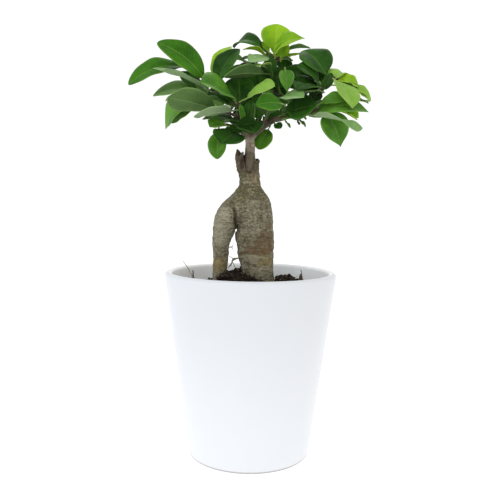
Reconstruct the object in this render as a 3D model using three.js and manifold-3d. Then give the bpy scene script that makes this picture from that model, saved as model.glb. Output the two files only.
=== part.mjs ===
// A grafted ginseng ficus in a tapered white pot.
// Units are millimetres. +X is to the right, +Y is away from the front, +Z is up.
// The origin is the centre of the pot's flat underside.

import * as THREE from 'three';
import { mergeVertices } from 'three/addons/utils/BufferGeometryUtils.js';
import Module from 'manifold-3d';

const wasm = await Module();
wasm.setup();

// Driving dimensions

const GAP = 0.3;
const WELD = 1e-4;

const POT = {
  rimRadius: 65,
  footRadius: 46.3,
  height: 140,
  wall: 5.5,
  floor: 7,
  footRound: 1,
  floorRound: 4,
  curvePoints: 3,
  segments: 48,
};

const SOIL = {
  level: 120,
  moundHeight: 21,
  moundCentre: [-4, 0],
  moundSpread: [27, 25],
  lumpHeight: 0.7,
  lumpWaves: [0.45, 0.52, 0.31],
  topBand: 1,
  rings: 8,
  segments: 36,
};

const GRAFT = {
  neckTop: 231,
  topTiltDeg: 14,
  cleftHalfDepth: 14,
  cutSize: 60,
};

const SIDES = { leftRoot: 14, rightRoot: 18, neck: 16, wedge: 12 };

const LIMB = { sides: 7, stepLength: 6, leastSteps: 3 };

const LEAF = {
  steps: 10,
  petioleShare: 0.16,
  petioleThickness: 1.4,
  bladeThickness: 0.6,
  tipHalfWidth: 0.35,
  roundness: 0.72,
};

// How far a leaf may move to hang free of its neighbours: along its twig, as a share
// of the twig's length, out from the twig, and round its base.
const SETTLE = {
  firstShare: 0.05,
  slides: [0, -0.05, 0.05, -0.1, 0.1, -0.16, 0.16],
  lifts: [0, 0.3, 0.6],
  turnStepDeg: 3,
  mostTurnDeg: 36,
  clockStepDeg: 45,
};

// The two thick roots and the neck, from top to bottom.
// Each row is one level cut: height, centre x, centre y, half width in x, half width in y.

const LEFT_ROOT = [
  [205, -5, 0, 4, 4.5],
  [200, -7.2, 0, 6, 7.5],
  [194, -10.2, -1, 9.6, 11],
  [187.5, -14.4, -1.5, 10.9, 12.8],
  [181.5, -17, -2, 10.8, 12.4],
  [176, -19.3, -2, 9.9, 11.4],
  [168.5, -21.6, -2, 7.7, 9.6],
  [163.5, -22.2, -2, 6.8, 8.8],
  [158.5, -22.7, -2, 6.1, 8],
  [152, -22.9, -2, 5.8, 7.4],
  [144, -23.1, -2.5, 5.8, 7],
  [134, -23.4, -3, 6.1, 7],
  [118, -24.5, -4, 5.5, 6],
  [98, -27, -5, 3.8, 4],
  [82, -28.5, -6, 1.4, 1.5],
];

const RIGHT_ROOT = [
  [206, -1.5, 0, 6.4, 6.4],
  [203, -1.3, 0, 8.2, 8],
  [199.5, 0.6, 0, 10.2, 10],
  [195.8, 1.9, 0.5, 11.5, 12],
  [190, 2.4, 1, 13, 13.6],
  [184, 2.6, 1, 13.8, 14.2],
  [178, 3.1, 1, 14, 14],
  [168.5, 3.2, 1, 14.4, 13.6],
  [158.5, 3.5, 1, 14.2, 13],
  [153.5, 3.9, 1, 13.8, 12.6],
  [148, 4.4, 1, 13.4, 12.2],
  [141, 5, 1, 12.9, 12],
  [134, 5.6, 1, 13.6, 12.2],
  [116, 6.5, 2, 11.5, 10.5],
  [94, 8, 3, 7, 6.5],
  [74, 9, 4, 1.8, 1.8],
];

const NECK = [
  [236, -2, 0, 9.4, 8.6],
  [231, -2, 0, 9.2, 8.5],
  [224, -1.9, 0, 8.8, 8.4],
  [218, -1.7, 0, 8.2, 8.2],
  [212, -1.3, 0, 7.4, 7.6],
  [206, -1.4, 0, 7.8, 7.8],
  [199, -1.4, 0, 10, 9.6],
];

// The scion's cut end sits as a wedge in a cleft that splits the neck from front to back.

const WEDGE = [
  [213, -1.2, 0, 0.9, 5.4],
  [218, -1.2, 0, 2.4, 6.4],
  [224, -1.2, 0, 3.8, 6.8],
  [230, -1.2, 0, 4.7, 6],
  [235, -1.1, 0, 3.8, 4],
  [240, -1.8, 0, 4.4, 4.2],
  [244, -2.2, 0, 3.4, 3.4],
];

// Thin roots that grow on the thick ones, each as its points, first radius and last radius.

const WIRY_ROOTS = [
  {
    points: [[-4, -6, 152], [-10, -8.5, 150.4], [-14, -7.6, 148.6], [-15.2, -7, 144]],
    radii: [0.9, 0.6],
  },
  { points: [[-19.5, -6, 158.2], [-16, -6.6, 158.6], [-14, -6.8, 158.7]], radii: [0.7, 0.45] },
];

// A dead stub that stands in the soil near the wall of the pot.

const DRY_STUB = { points: [[41.5, 26, 108], [41, 25, 122], [40, 24, 135]], radii: [2.2, 1.5] };

// Branches and twigs: the points of the centre line, first radius and last radius.

const TWIGS = {
  left: {
    points: [[-2, 0, 239], [-6, -4, 248], [-9, -8, 256], [-11, -10, 266]],
    radii: [2.5, 1.6],
  },
  leftUp: {
    points: [[-10.5, -9, 262], [-18, -8, 266], [-26, -8, 272], [-32, -9, 278]],
    radii: [1.5, 1],
  },
  leftFar: { points: [[-31, -9, 277], [-37, -7, 284], [-45, -5, 291]], radii: [1, 0.8] },
  leftMid: { points: [[-8, -7, 253], [-14, -11, 256], [-21, -13, 259]], radii: [1.3, 0.8] },
  lowLeft: {
    points: [[-3, 0, 240], [-9, -5, 245], [-17, -10, 249], [-25, -13, 247.5]],
    radii: [1.9, 0.9],
  },
  right: {
    points: [[-1, -1, 240], [9, -6, 249], [18, -10, 254], [34, -14, 256.5], [50, -16, 260.5]],
    radii: [2.7, 1.3],
  },
  rightTip: { points: [[46, -15.5, 259.5], [53, -13, 263], [60, -12, 266]], radii: [1.1, 0.8] },
  rightUp: {
    points: [[26, -12, 255.5], [38, -11, 264], [49, -10, 274], [58, -12, 284]],
    radii: [1.7, 1],
  },
  top: {
    points: [[-1, 1, 241], [5, 4, 256], [11, 5, 272], [14, 3, 288], [14, 1, 302]],
    radii: [2.5, 1.1],
  },
  topSide: { points: [[13, 4, 279], [19, -5, 286], [23, -13, 290.5]], radii: [1.1, 0.8] },
  frontRight: { points: [[7, -5, 248], [12, -15, 258], [17, -23, 267]], radii: [1.4, 0.8] },
  frontLow: { points: [[6, -4, 247], [8, -13, 251], [8, -19, 254.5]], radii: [1.3, 0.8] },
  backLeft: {
    points: [[-3, 2, 241], [-14, 14, 254], [-26, 26, 266], [-37, 36, 275]],
    radii: [2.3, 1],
  },
  backRight: {
    points: [[1, 2, 242], [14, 16, 256], [27, 28, 266], [40, 36, 273]],
    radii: [2.3, 1],
  },
  back: { points: [[0, 3, 244], [0, 20, 260], [2, 34, 272], [5, 46, 281]], radii: [2, 1] },
  backTop: { points: [[8, 5, 264], [5, 15, 282], [0, 22, 298]], radii: [1.5, 0.9] },
};

// Leaves. Each row has the twig, how far along it the leaf grows, the tip, the way the
// upper face looks, the width, the arch of the midrib as a share of the length, the angle
// by which both halves fold up, and how far along the blade it is widest.

const LEAVES = {
  left_a: ['leftUp', 1, [-68, -24, 304], [0.2, -0.85, 0.45], 21.5, 0.17, 12, 0.48],
  left_b: ['leftFar', 1, [-90, -16, 276], [-0.15, -0.75, 0.65], 20, 0.17, 10, 0.5],
  left_c: ['leftUp', 0.55, [-69, -36, 284], [0, 0.2, 0.98], 9, 0.07, 8, 0.5],
  left_d: ['leftUp', 0.66, [-74, -5, 270], [-0.1, -0.6, 0.8], 21, 0.13, 10, 0.5],
  left_e: ['leftMid', 1, [-58, -44, 263], [0.1, 0.7, 0.7], 27, 0.03, 6, 0.6],
  left_f: ['leftUp', 0.5, [-65, -2, 246], [-0.65, -0.7, 0.3], 20, 0.33, 10, 0.62],
  left_g: ['left', 0.8, [-39, -46, 251], [-0.05, 0.5, 0.86], 17, 0.01, 8, 0.55],
  left_h: ['left', 0.55, [-37, -8, 253], [0, -0.4, 0.9], 18, 0.07, 12, 0.5],
  left_i: ['lowLeft', 0.8, [-31, -22, 247], [-0.2, -0.75, 0.6], 12, 0.1, 14, 0.5],
  left_j: ['lowLeft', 1, [-25, -22, 223], [-0.15, -0.95, 0.25], 14, 0.1, 10, 0.52],
  left_k: ['lowLeft', 0.35, [-22, -34, 233], [0.1, -0.65, 0.75], 24, 0.08, 8, 0.58],
  left_l: ['left', 0.42, [2, -32, 241], [0.05, -0.75, 0.66], 20.5, 0.08, 10, 0.48],
  left_m: ['left', 0.98, [-36, -38, 274], [0.2, -0.65, 0.72], 30, 0.09, 14, 0.48],
  left_n: ['leftUp', 0.8, [-10, -8, 304], [-0.5, -0.8, 0.3], 19, 0.16, 12, 0.48],
  left_o: ['leftFar', 0.15, [-17, 10, 310], [-0.5, -0.75, 0.4], 13, 0.1, 12, 0.55],
  top_a: ['top', 1, [-15, 22, 312], [-0.25, -0.65, 0.75], 13, 0.27, 12, 0.6],
  top_b: ['top', 0.93, [-8, -2, 305], [0, 0.05, 1], 8, 0.2, 14, 0.5],
  top_c: ['top', 1, [17.7, 4, 325.4], [0, -0.95, 0.2], 23, 0.05, 6, 0.56],
  top_d: ['top', 0.965, [36.4, -17, 310.1], [-0.5, -0.6, 0.62], 23, 0.2, 14, 0.3],
  mid_a: ['top', 0.88, [-21, -19, 282], [-0.1, 0.4, 0.9], 18, 0.06, 10, 0.5],
  top_e: ['top', 0.97, [-3.1, -16, 293], [-0.2, -0.75, 0.6], 15, 0.06, 8, 0.55],
  top_f: ['top', 0.76, [2, -16, 291], [-0.2, -0.4, 0.9], 12, 0.12, 18, 0.5],
  top_g: ['topSide', 1, [24, -30, 270], [0, -0.75, 0.6], 12, 0.08, 26, 0.45],
  top_h: ['top', 0.97, [43, 8, 309], [-0.2, -0.1, 1], 12, 0.12, 14, 0.5],
  mid_b: ['left', 0.9, [-11, 2, 286], [0.05, -0.9, 0.4], 22, 0.05, 12, 0.62],
  mid_c: ['top', 0.45, [3, 10, 293], [0.1, -0.9, 0.4], 25, 0.06, 12, 0.55],
  mid_d: ['left', 0.98, [15, -35, 273], [-0.2, -0.75, 0.62], 16, 0.03, 24, 0.66],
  mid_e: ['frontLow', 1, [13, -46, 261], [0, 0.25, 0.97], 20, 0.06, 12, 0.5],
  right_a: ['frontRight', 1, [35, -39, 265], [0, -0.6, 0.8], 20, 0.07, 12, 0.45],
  right_b: ['rightUp', 0.93, [37, -2, 305], [0.3, -0.75, 0.55], 28, 0.1, 10, 0.5],
  right_c: ['rightUp', 0.8, [31, -20, 290], [-0.2, -0.6, 0.75], 21, 0.1, 14, 0.5],
  right_d: ['rightUp', 0.8, [68, -1, 288], [0.1, -0.45, 0.88], 15, 0.24, 18, 0.5],
  right_e: ['rightUp', 1, [77, -10, 277], [0.2, -0.6, 0.8], 13, 0.16, 16, 0.5],
  right_f: ['rightUp', 0.98, [69, -36, 258.2], [0.45, -0.7, 0.45], 21, 0.08, 12, 0.5],
  right_g: ['rightUp', 0.96, [87, -4, 268], [0.3, -0.5, 0.8], 14, 0.14, 16, 0.55],
  right_h: ['right', 0.48, [45, -26, 262], [0.05, -0.85, 0.5], 22, 0.04, 12, 0.55],
  right_i: ['rightUp', 0.6, [30, -34, 271], [0.1, -0.4, 0.9], 20, 0.1, 12, 0.5],
  right_j: ['right', 0.85, [82.4, -24, 257.6], [0.05, -0.7, 0.7], 20, 0.17, 12, 0.42],
  right_k: ['rightTip', 1, [88, 6, 270], [0.1, -0.4, 0.9], 17, 0.1, 12, 0.5],
  right_l: ['rightTip', 0.4, [64.3, -16, 233.4], [0.3, -0.85, 0.4], 24, 0.1, 8, 0.38],
  right_m: ['right', 0.8, [73, -46, 242], [0.1, 0.42, 0.9], 13, 0.09, 8, 0.5],
  right_n: ['rightTip', 0.6, [79, 6, 256], [0.1, -0.6, 0.8], 14, 0.06, 12, 0.62],
  low_a: ['backRight', 0.48, [4.8, 4, 232.4], [-0.1, -0.92, 0.35], 14.5, 0.06, 8, 0.5],
  low_b: ['right', 0.38, [20.6, -18, 246.2], [0.1, -0.95, 0.2], 6.5, 0.05, 10, 0.6],
  back_a: ['backLeft', 1, [-68, 50, 281], [-0.2, 0.4, 0.9], 23, 0.1, 12, 0.5],
  back_b: ['backLeft', 0.9, [-50, 66, 272], [-0.4, 0.7, 0.5], 22, 0.12, 12, 0.5],
  back_c: ['backLeft', 0.75, [-60, 26, 268], [-0.5, 0, 0.85], 22, 0.12, 12, 0.5],
  back_d: ['backLeft', 0.6, [-34, 46, 262], [-0.3, 0.8, 0.4], 22, 0.1, 12, 0.5],
  back_e: ['back', 1, [-12, 74, 292], [0, 0.5, 0.85], 23, 0.12, 12, 0.5],
  back_f: ['back', 0.9, [26, 76, 272], [0.2, 0.6, 0.75], 22, 0.14, 12, 0.5],
  back_g: ['backRight', 1, [66, 54, 292], [0.3, 0.4, 0.85], 24, 0.12, 12, 0.5],
  back_h: ['backRight', 0.85, [62, 44, 263], [0.4, 0.6, 0.6], 22, 0.12, 12, 0.5],
  back_i: ['backRight', 0.7, [48, 22, 282], [0.4, 0.1, 0.9], 22, 0.12, 12, 0.5],
  back_j: ['backTop', 1, [-26, 44, 308], [-0.2, 0.4, 0.9], 22, 0.12, 12, 0.5],
  back_k: ['backTop', 0.9, [26, 40, 304], [0.2, 0.5, 0.8], 22, 0.12, 12, 0.5],
};

// Leaves that are still pale and soft, and leaves that have gone dark with age.

const YOUNG_LEAVES = [
  'left_o', 'top_b', 'top_c', 'top_d', 'top_f', 'mid_d', 'right_d', 'right_e', 'right_f',
  'right_g', 'right_n',
];

const OLD_LEAVES = [
  'left_h', 'left_k', 'left_l', 'left_n', 'top_a', 'mid_b', 'mid_c', 'right_b', 'right_c',
  'right_h', 'right_i', 'low_b', 'back_c', 'back_e', 'back_f', 'back_h', 'back_i', 'back_k',
];

const FINISHES = {
  glaze: { color: 0xeef1f4, roughness: 0.35, metalness: 0 },
  soil: { color: 0x2e2822, roughness: 1, metalness: 0 },
  bark: { color: 0x837c68, roughness: 0.85, metalness: 0 },
  deadWood: { color: 0x5a4330, roughness: 0.9, metalness: 0 },
  wood: { color: 0x6a5e50, roughness: 0.8, metalness: 0 },
  youngLeaf: { color: 0x8fbf2c, roughness: 0.42, metalness: 0 },
  grownLeaf: { color: 0x3c7a24, roughness: 0.38, metalness: 0 },
  oldLeaf: { color: 0x1f4a1c, roughness: 0.36, metalness: 0 },
};

// Geometry helpers

function vector(values) {
  return new THREE.Vector3(...values);
}

function moveVertices(geometry, place) {
  const position = geometry.attributes.position;
  const point = new THREE.Vector3();
  for (let i = 0; i < position.count; i += 1) {
    point.fromBufferAttribute(position, i);
    place(point);
    position.setXYZ(i, point.x, point.y, point.z);
  }
  return geometry;
}

function closed(geometry) {
  geometry.deleteAttribute('normal');
  geometry.deleteAttribute('uv');
  return mergeVertices(geometry, WELD);
}

function toSolid(geometry) {
  const merged = closed(geometry);
  return new wasm.Manifold(new wasm.Mesh({
    numProp: 3,
    vertProperties: Float32Array.from(merged.attributes.position.array),
    triVerts: Uint32Array.from(merged.index.array),
  }));
}

function toGeometry(solid) {
  const mesh = solid.getMesh();
  const geometry = new THREE.BufferGeometry();
  geometry.setAttribute('position', new THREE.BufferAttribute(mesh.vertProperties, 3));
  geometry.setIndex(new THREE.BufferAttribute(mesh.triVerts, 1));
  return geometry;
}

function joined(solids) {
  return solids.reduce((whole, solid) => whole.add(solid));
}

// A closed body of level elliptical cuts, smooth from one row to the next.
function stack(rows, sides, grow = 0) {
  const centres = new THREE.CatmullRomCurve3(rows.map(([z, x, y]) => new THREE.Vector3(x, y, z)));
  const halves = new THREE.CatmullRomCurve3(rows.map((row) => new THREE.Vector3(row[3], row[4], 0)));
  const body = new THREE.CylinderGeometry(1, 1, 1, sides, rows.length);
  const rises = rows[rows.length - 1][0] > rows[0][0];
  return moveVertices(body, (point) => {
    const share = rises ? point.y + 0.5 : 0.5 - point.y;
    const centre = centres.getPoint(share);
    const half = halves.getPoint(share);
    const atEnd = 0.5 - Math.abs(point.y) < WELD;
    point.set(
      centre.x + point.x * (half.x + grow),
      centre.y - point.z * (half.y + grow),
      centre.z + (atEnd ? grow * Math.sign(point.y) : 0),
    );
  });
}

// A round limb along a curve that thins from its first radius to its last.
function limb({ points, radii }, grow = 0) {
  const path = new THREE.CatmullRomCurve3(points.map(vector));
  const steps = Math.max(LIMB.leastSteps, Math.round(path.getLength() / LIMB.stepLength));
  const frames = path.computeFrenetFrames(steps);
  const body = new THREE.CylinderGeometry(1, 1, 1, LIMB.sides, steps);
  return moveVertices(body, (point) => {
    const share = point.y + 0.5;
    const step = Math.round(share * steps);
    const radius = THREE.MathUtils.lerp(radii[0], radii[1], share) + grow;
    const offsetX = point.x * radius;
    const offsetZ = point.z * radius;
    point.copy(path.getPointAt(share));
    point.addScaledVector(frames.binormals[step], offsetX);
    point.addScaledVector(frames.normals[step], offsetZ);
  });
}

function lathe(path, segments) {
  const turned = new THREE.LatheGeometry(path, segments);
  return turned.rotateX(Math.PI / 2);
}

// Pot

const outerSlope = (POT.rimRadius - POT.footRadius) / (POT.height - POT.wall / 2);

function innerRadius(z) {
  return POT.footRadius + outerSlope * z - POT.wall;
}

function pot() {
  const lip = POT.wall / 2;
  const lipHeight = POT.height - lip;
  const path = new THREE.Path();
  path.moveTo(0, 0);
  path.lineTo(POT.footRadius - POT.footRound, 0);
  path.quadraticCurveTo(POT.footRadius, 0, POT.footRadius + outerSlope * POT.footRound, POT.footRound);
  path.lineTo(POT.rimRadius, lipHeight);
  path.absarc(POT.rimRadius - lip, lipHeight, lip, 0, Math.PI, false);
  path.lineTo(innerRadius(POT.floor + POT.floorRound), POT.floor + POT.floorRound);
  const innerFoot = innerRadius(POT.floor);
  path.quadraticCurveTo(innerFoot, POT.floor, innerFoot - POT.floorRound, POT.floor);
  path.lineTo(0, POT.floor);
  return lathe(path.getPoints(POT.curvePoints), POT.segments);
}

// Soil

function moundHeight(x, y) {
  const dx = (x - SOIL.moundCentre[0]) / SOIL.moundSpread[0];
  const dy = (y - SOIL.moundCentre[1]) / SOIL.moundSpread[1];
  const [waveX, waveY, waveAcross] = SOIL.lumpWaves;
  const lumps = Math.cos(x * waveX) * Math.cos(y * waveY) + Math.sin((x + y) * waveAcross);
  return SOIL.level + SOIL.moundHeight * Math.exp(-dx * dx - dy * dy) + SOIL.lumpHeight * lumps;
}

function soil(buried) {
  const bottom = POT.floor + GAP;
  const edge = innerRadius(SOIL.level) - GAP;
  const path = [
    new THREE.Vector2(0, bottom),
    new THREE.Vector2(innerRadius(POT.floor) - POT.floorRound, bottom),
    new THREE.Vector2(innerRadius(POT.floor + POT.floorRound) - GAP, POT.floor + POT.floorRound),
  ];
  for (let ring = 0; ring <= SOIL.rings; ring += 1) {
    path.push(new THREE.Vector2(edge * (1 - ring / SOIL.rings), SOIL.level));
  }
  const body = moveVertices(lathe(path, SOIL.segments), (point) => {
    const radius = Math.hypot(point.x, point.y);
    if (point.z > SOIL.level - SOIL.topBand && radius < edge - SOIL.topBand) {
      point.z = moundHeight(point.x, point.y);
    }
  });
  return toSolid(body).subtract(joined(buried));
}

// Trunk

function trunkSolids(grow) {
  return [
    toSolid(stack(LEFT_ROOT, SIDES.leftRoot, grow)),
    toSolid(stack(RIGHT_ROOT, SIDES.rightRoot, grow)),
  ];
}

function trunk() {
  const whole = joined([
    ...trunkSolids(0),
    toSolid(stack(NECK, SIDES.neck)),
    ...WIRY_ROOTS.map((root) => toSolid(limb(root))),
  ]);
  const cut = new THREE.BoxGeometry(GRAFT.cutSize, GRAFT.cutSize, GRAFT.cutSize);
  cut.translate(0, 0, GRAFT.cutSize / 2);
  cut.rotateY(THREE.MathUtils.degToRad(GRAFT.topTiltDeg));
  cut.translate(0, 0, GRAFT.neckTop);
  const cleftRows = WEDGE.map(([z, x, y, halfX]) => [z, x, y, halfX, GRAFT.cleftHalfDepth]);
  const cleft = stack(cleftRows, SIDES.wedge, GAP);
  return whole.subtract(toSolid(cut)).subtract(toSolid(cleft));
}

// Stem and twigs

function stem() {
  const limbs = Object.values(TWIGS).map((twig) => toSolid(limb(twig)));
  return joined([toSolid(stack(WEDGE, SIDES.wedge)), ...limbs]);
}

// Leaves

function halfWidth(share, width, belly) {
  if (share <= LEAF.petioleShare) {
    return LEAF.petioleThickness / 2;
  }
  const along = (share - LEAF.petioleShare) / (1 - LEAF.petioleShare);
  const power = Math.log(0.5) / Math.log(belly);
  const outline = Math.sin(Math.PI * along ** power) ** LEAF.roundness;
  return Math.max(LEAF.tipHalfWidth, (width / 2) * outline);
}

// Stations along a leaf stand closer together near both ends of the blade.
function station(share) {
  const first = 1 / LEAF.steps;
  if (share <= first) {
    return (share / first) * LEAF.petioleShare;
  }
  const along = (share - first) / (1 - first);
  return LEAF.petioleShare + (1 - LEAF.petioleShare) * (1 - Math.cos(Math.PI * along)) / 2;
}

function leafGeometry({ base, tip, face, width, arch, fold, belly }, grow = 0) {
  const chord = new THREE.Vector3().subVectors(tip, base);
  const length = chord.length();
  const along = chord.normalize();
  const up = face.clone().addScaledVector(along, -face.dot(along)).normalize();
  const side = new THREE.Vector3().crossVectors(up, along);
  const sheet = new THREE.BoxGeometry(1, 1, 1, LEAF.steps, 2, 1);
  return moveVertices(sheet, (point) => {
    const share = station(point.x + 0.5);
    const half = halfWidth(share, width, belly) + grow;
    const across = point.y * 2;
    const petiole = share <= LEAF.petioleShare;
    const thickness = (petiole ? LEAF.petioleThickness : LEAF.bladeThickness) + 2 * grow;
    const slope = 4 * arch * (1 - 2 * share);
    const localUp = up.clone().addScaledVector(along, -slope).normalize();
    const lift = petiole ? 0 : Math.abs(across) * half * Math.sin(fold);
    const raise = lift + point.z * thickness;
    const spread = across * half * (petiole ? 1 : Math.cos(fold));
    point.copy(base);
    point.addScaledVector(along, length * share);
    point.addScaledVector(up, 4 * arch * length * share * (1 - share));
    point.addScaledVector(side, spread);
    point.addScaledVector(localUp, raise);
  });
}

// The leaf starts on the surface of its twig, on the side that its tip is on.
function leafPlan(row, slide, lift) {
  const [twigName, seatShare, tipValues, faceValues, width, arch, foldDeg, belly] = row;
  const { points, radii } = TWIGS[twigName];
  const share = THREE.MathUtils.clamp(seatShare + slide, SETTLE.firstShare, 1);
  const path = new THREE.CatmullRomCurve3(points.map(vector));
  const seat = path.getPointAt(share);
  const tangent = path.getTangentAt(share);
  const tip = vector(tipValues);
  const reach = new THREE.Vector3().subVectors(tip, seat);
  const away = reach.clone().addScaledVector(tangent, -reach.dot(tangent)).normalize();
  const grazing = Math.abs(reach.normalize().dot(tangent));
  const radius = THREE.MathUtils.lerp(radii[0], radii[1], share);
  const clearance = GAP + lift + grazing * (GAP + LEAF.petioleThickness / 2);
  const base = seat.addScaledVector(away, radius + clearance);
  const fold = THREE.MathUtils.degToRad(foldDeg);
  return { base, tip, face: vector(faceValues).normalize(), width, arch, fold, belly };
}

function swung(plan, turnDeg, clockDeg) {
  const reach = new THREE.Vector3().subVectors(plan.tip, plan.base);
  const along = reach.clone().normalize();
  const axis = new THREE.Vector3().crossVectors(along, plan.face).normalize();
  axis.applyAxisAngle(along, THREE.MathUtils.degToRad(clockDeg));
  const turn = THREE.MathUtils.degToRad(turnDeg);
  return {
    ...plan,
    tip: reach.applyAxisAngle(axis, turn).add(plan.base),
    face: plan.face.clone().applyAxisAngle(axis, turn),
  };
}

// A leaf that would touch a neighbour slides along its twig or swings about its base,
// a little further at each try, until it hangs free.
function freeLeaf(row, neighbours) {
  const touches = (candidate) => {
    const probe = toSolid(leafGeometry(candidate, GAP));
    return neighbours.some((other) => !probe.intersect(other).isEmpty());
  };
  for (let turn = 0; turn <= SETTLE.mostTurnDeg; turn += SETTLE.turnStepDeg) {
    const clocks = turn ? 360 / SETTLE.clockStepDeg : 1;
    for (const slide of SETTLE.slides) {
      for (const lift of SETTLE.lifts) {
        const plan = leafPlan(row, slide, lift);
        for (let clock = 0; clock < clocks; clock += 1) {
          const candidate = swung(plan, turn, clock * SETTLE.clockStepDeg);
          if (!touches(candidate)) {
            return candidate;
          }
        }
      }
    }
  }
  throw new Error('no free place for a leaf');
}

function leaves(stemSolid) {
  const neighbours = [stemSolid];
  const plans = {};
  for (const [name, row] of Object.entries(LEAVES)) {
    const plan = freeLeaf(row, neighbours);
    neighbours.push(toSolid(leafGeometry(plan)));
    plans[name] = plan;
  }
  return plans;
}

// The whole plant

function named(name, geometry, finish) {
  const mesh = new THREE.Mesh(geometry, new THREE.MeshStandardMaterial(finish));
  mesh.name = name;
  return mesh;
}

function leafFinish(name) {
  if (YOUNG_LEAVES.includes(name)) {
    return FINISHES.youngLeaf;
  }
  return OLD_LEAVES.includes(name) ? FINISHES.oldLeaf : FINISHES.grownLeaf;
}

const group = new THREE.Group();
const stemSolid = stem();
const buried = [...trunkSolids(GAP), toSolid(limb(DRY_STUB, GAP))];
group.add(named('pot', pot(), FINISHES.glaze));
group.add(named('soil', toGeometry(soil(buried)), FINISHES.soil));
group.add(named('dry_stub', limb(DRY_STUB), FINISHES.deadWood));
group.add(named('trunk', toGeometry(trunk()), FINISHES.bark));
group.add(named('stem', toGeometry(stemSolid), FINISHES.wood));
for (const [name, plan] of Object.entries(leaves(stemSolid))) {
  group.add(named(`leaf_${name}`, leafGeometry(plan), leafFinish(name)));
}

export default group;
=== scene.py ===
"""A grafted ginseng ficus in a tapered white pot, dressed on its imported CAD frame.

Lengths are in metres where nothing else is said, in the frame's axes: +X right, +Y away from
the front, +Z up.
"""

from __future__ import annotations

import itertools
import logging
import math
import random
from dataclasses import dataclass
from enum import Enum
from typing import Callable, Sequence

import bmesh
import bpy
from mathutils import Matrix, Vector, noise
from mathutils.bvhtree import BVHTree


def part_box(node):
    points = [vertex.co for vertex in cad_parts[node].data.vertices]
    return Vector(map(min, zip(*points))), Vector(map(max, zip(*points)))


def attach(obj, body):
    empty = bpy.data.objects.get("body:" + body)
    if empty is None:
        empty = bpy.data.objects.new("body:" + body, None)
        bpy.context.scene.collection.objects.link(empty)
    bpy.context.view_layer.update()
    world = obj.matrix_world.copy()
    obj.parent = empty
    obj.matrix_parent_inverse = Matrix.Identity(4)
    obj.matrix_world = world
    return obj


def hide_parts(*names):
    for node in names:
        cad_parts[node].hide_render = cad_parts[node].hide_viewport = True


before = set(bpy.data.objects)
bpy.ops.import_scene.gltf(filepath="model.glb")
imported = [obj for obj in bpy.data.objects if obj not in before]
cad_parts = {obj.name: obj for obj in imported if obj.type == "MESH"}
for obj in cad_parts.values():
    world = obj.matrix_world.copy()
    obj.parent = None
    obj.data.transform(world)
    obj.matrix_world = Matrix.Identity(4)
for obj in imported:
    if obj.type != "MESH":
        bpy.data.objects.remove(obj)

MM = 0.001
MERGE = 0.002 * MM
Colour = tuple[float, float, float]
Place = tuple[float, float, float]
log = logging.getLogger("scene")


# Shader graph


class Value:
    """A shader socket that takes part in arithmetic."""

    def __init__(self, graph: Graph, socket: bpy.types.NodeSocket) -> None:
        """Wraps one output socket of a graph."""
        self.graph = graph
        self.socket = socket

    def __add__(self, other: Value | float) -> Value:
        """Returns self + other."""
        return self.graph.maths("ADD", self, other)

    def __radd__(self, other: float) -> Value:
        """Returns other + self."""
        return self.graph.maths("ADD", other, self)

    def __sub__(self, other: Value | float) -> Value:
        """Returns self - other."""
        return self.graph.maths("SUBTRACT", self, other)

    def __rsub__(self, other: float) -> Value:
        """Returns other - self."""
        return self.graph.maths("SUBTRACT", other, self)

    def __mul__(self, other: Value | float) -> Value:
        """Returns self * other."""
        return self.graph.maths("MULTIPLY", self, other)

    def __rmul__(self, other: float) -> Value:
        """Returns other * self."""
        return self.graph.maths("MULTIPLY", other, self)

    def __truediv__(self, other: Value | float) -> Value:
        """Returns self / other."""
        return self.graph.maths("DIVIDE", self, other)

    def __abs__(self) -> Value:
        """Returns the size of self without its sign."""
        return self.graph.maths("ABSOLUTE", self)

    def fraction(self) -> Value:
        """Returns the part of self after the point."""
        return self.graph.maths("FRACT", self)

    def ramp(self, low: float, high: float) -> Value:
        """Steps smoothly between two values of self.

        Args:
            low: The value where the step gives 0.
            high: The value where it gives 1. It may be below low.

        Returns:
            The step, from 0 to 1.
        """
        start, end = min(low, high), max(low, high)
        ends = (0.0, 1.0) if high > low else (1.0, 0.0)
        settings = {"interpolation_type": "SMOOTHSTEP", "clamp": True}
        inputs = {"Value": self, "From Min": start, "From Max": end, "To Min": ends[0], "To Max": ends[1]}
        return self.graph.node("ShaderNodeMapRange", settings, inputs).value("Result")


class Node:
    """One shader node of a graph."""

    def __init__(self, graph: Graph, node: bpy.types.Node) -> None:
        """Wraps a node of a graph."""
        self.graph = graph
        self.node = node

    def value(self, name: str | int = 0) -> Value:
        """Picks one of the node's outputs.

        Args:
            name: The output's name, or its number where names repeat.

        Returns:
            The wrapped output.
        """
        if isinstance(name, int):
            return Value(self.graph, self.node.outputs[name])
        found = [socket for socket in self.node.outputs if socket.name == name and socket.enabled]
        return Value(self.graph, found[0])


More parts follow.
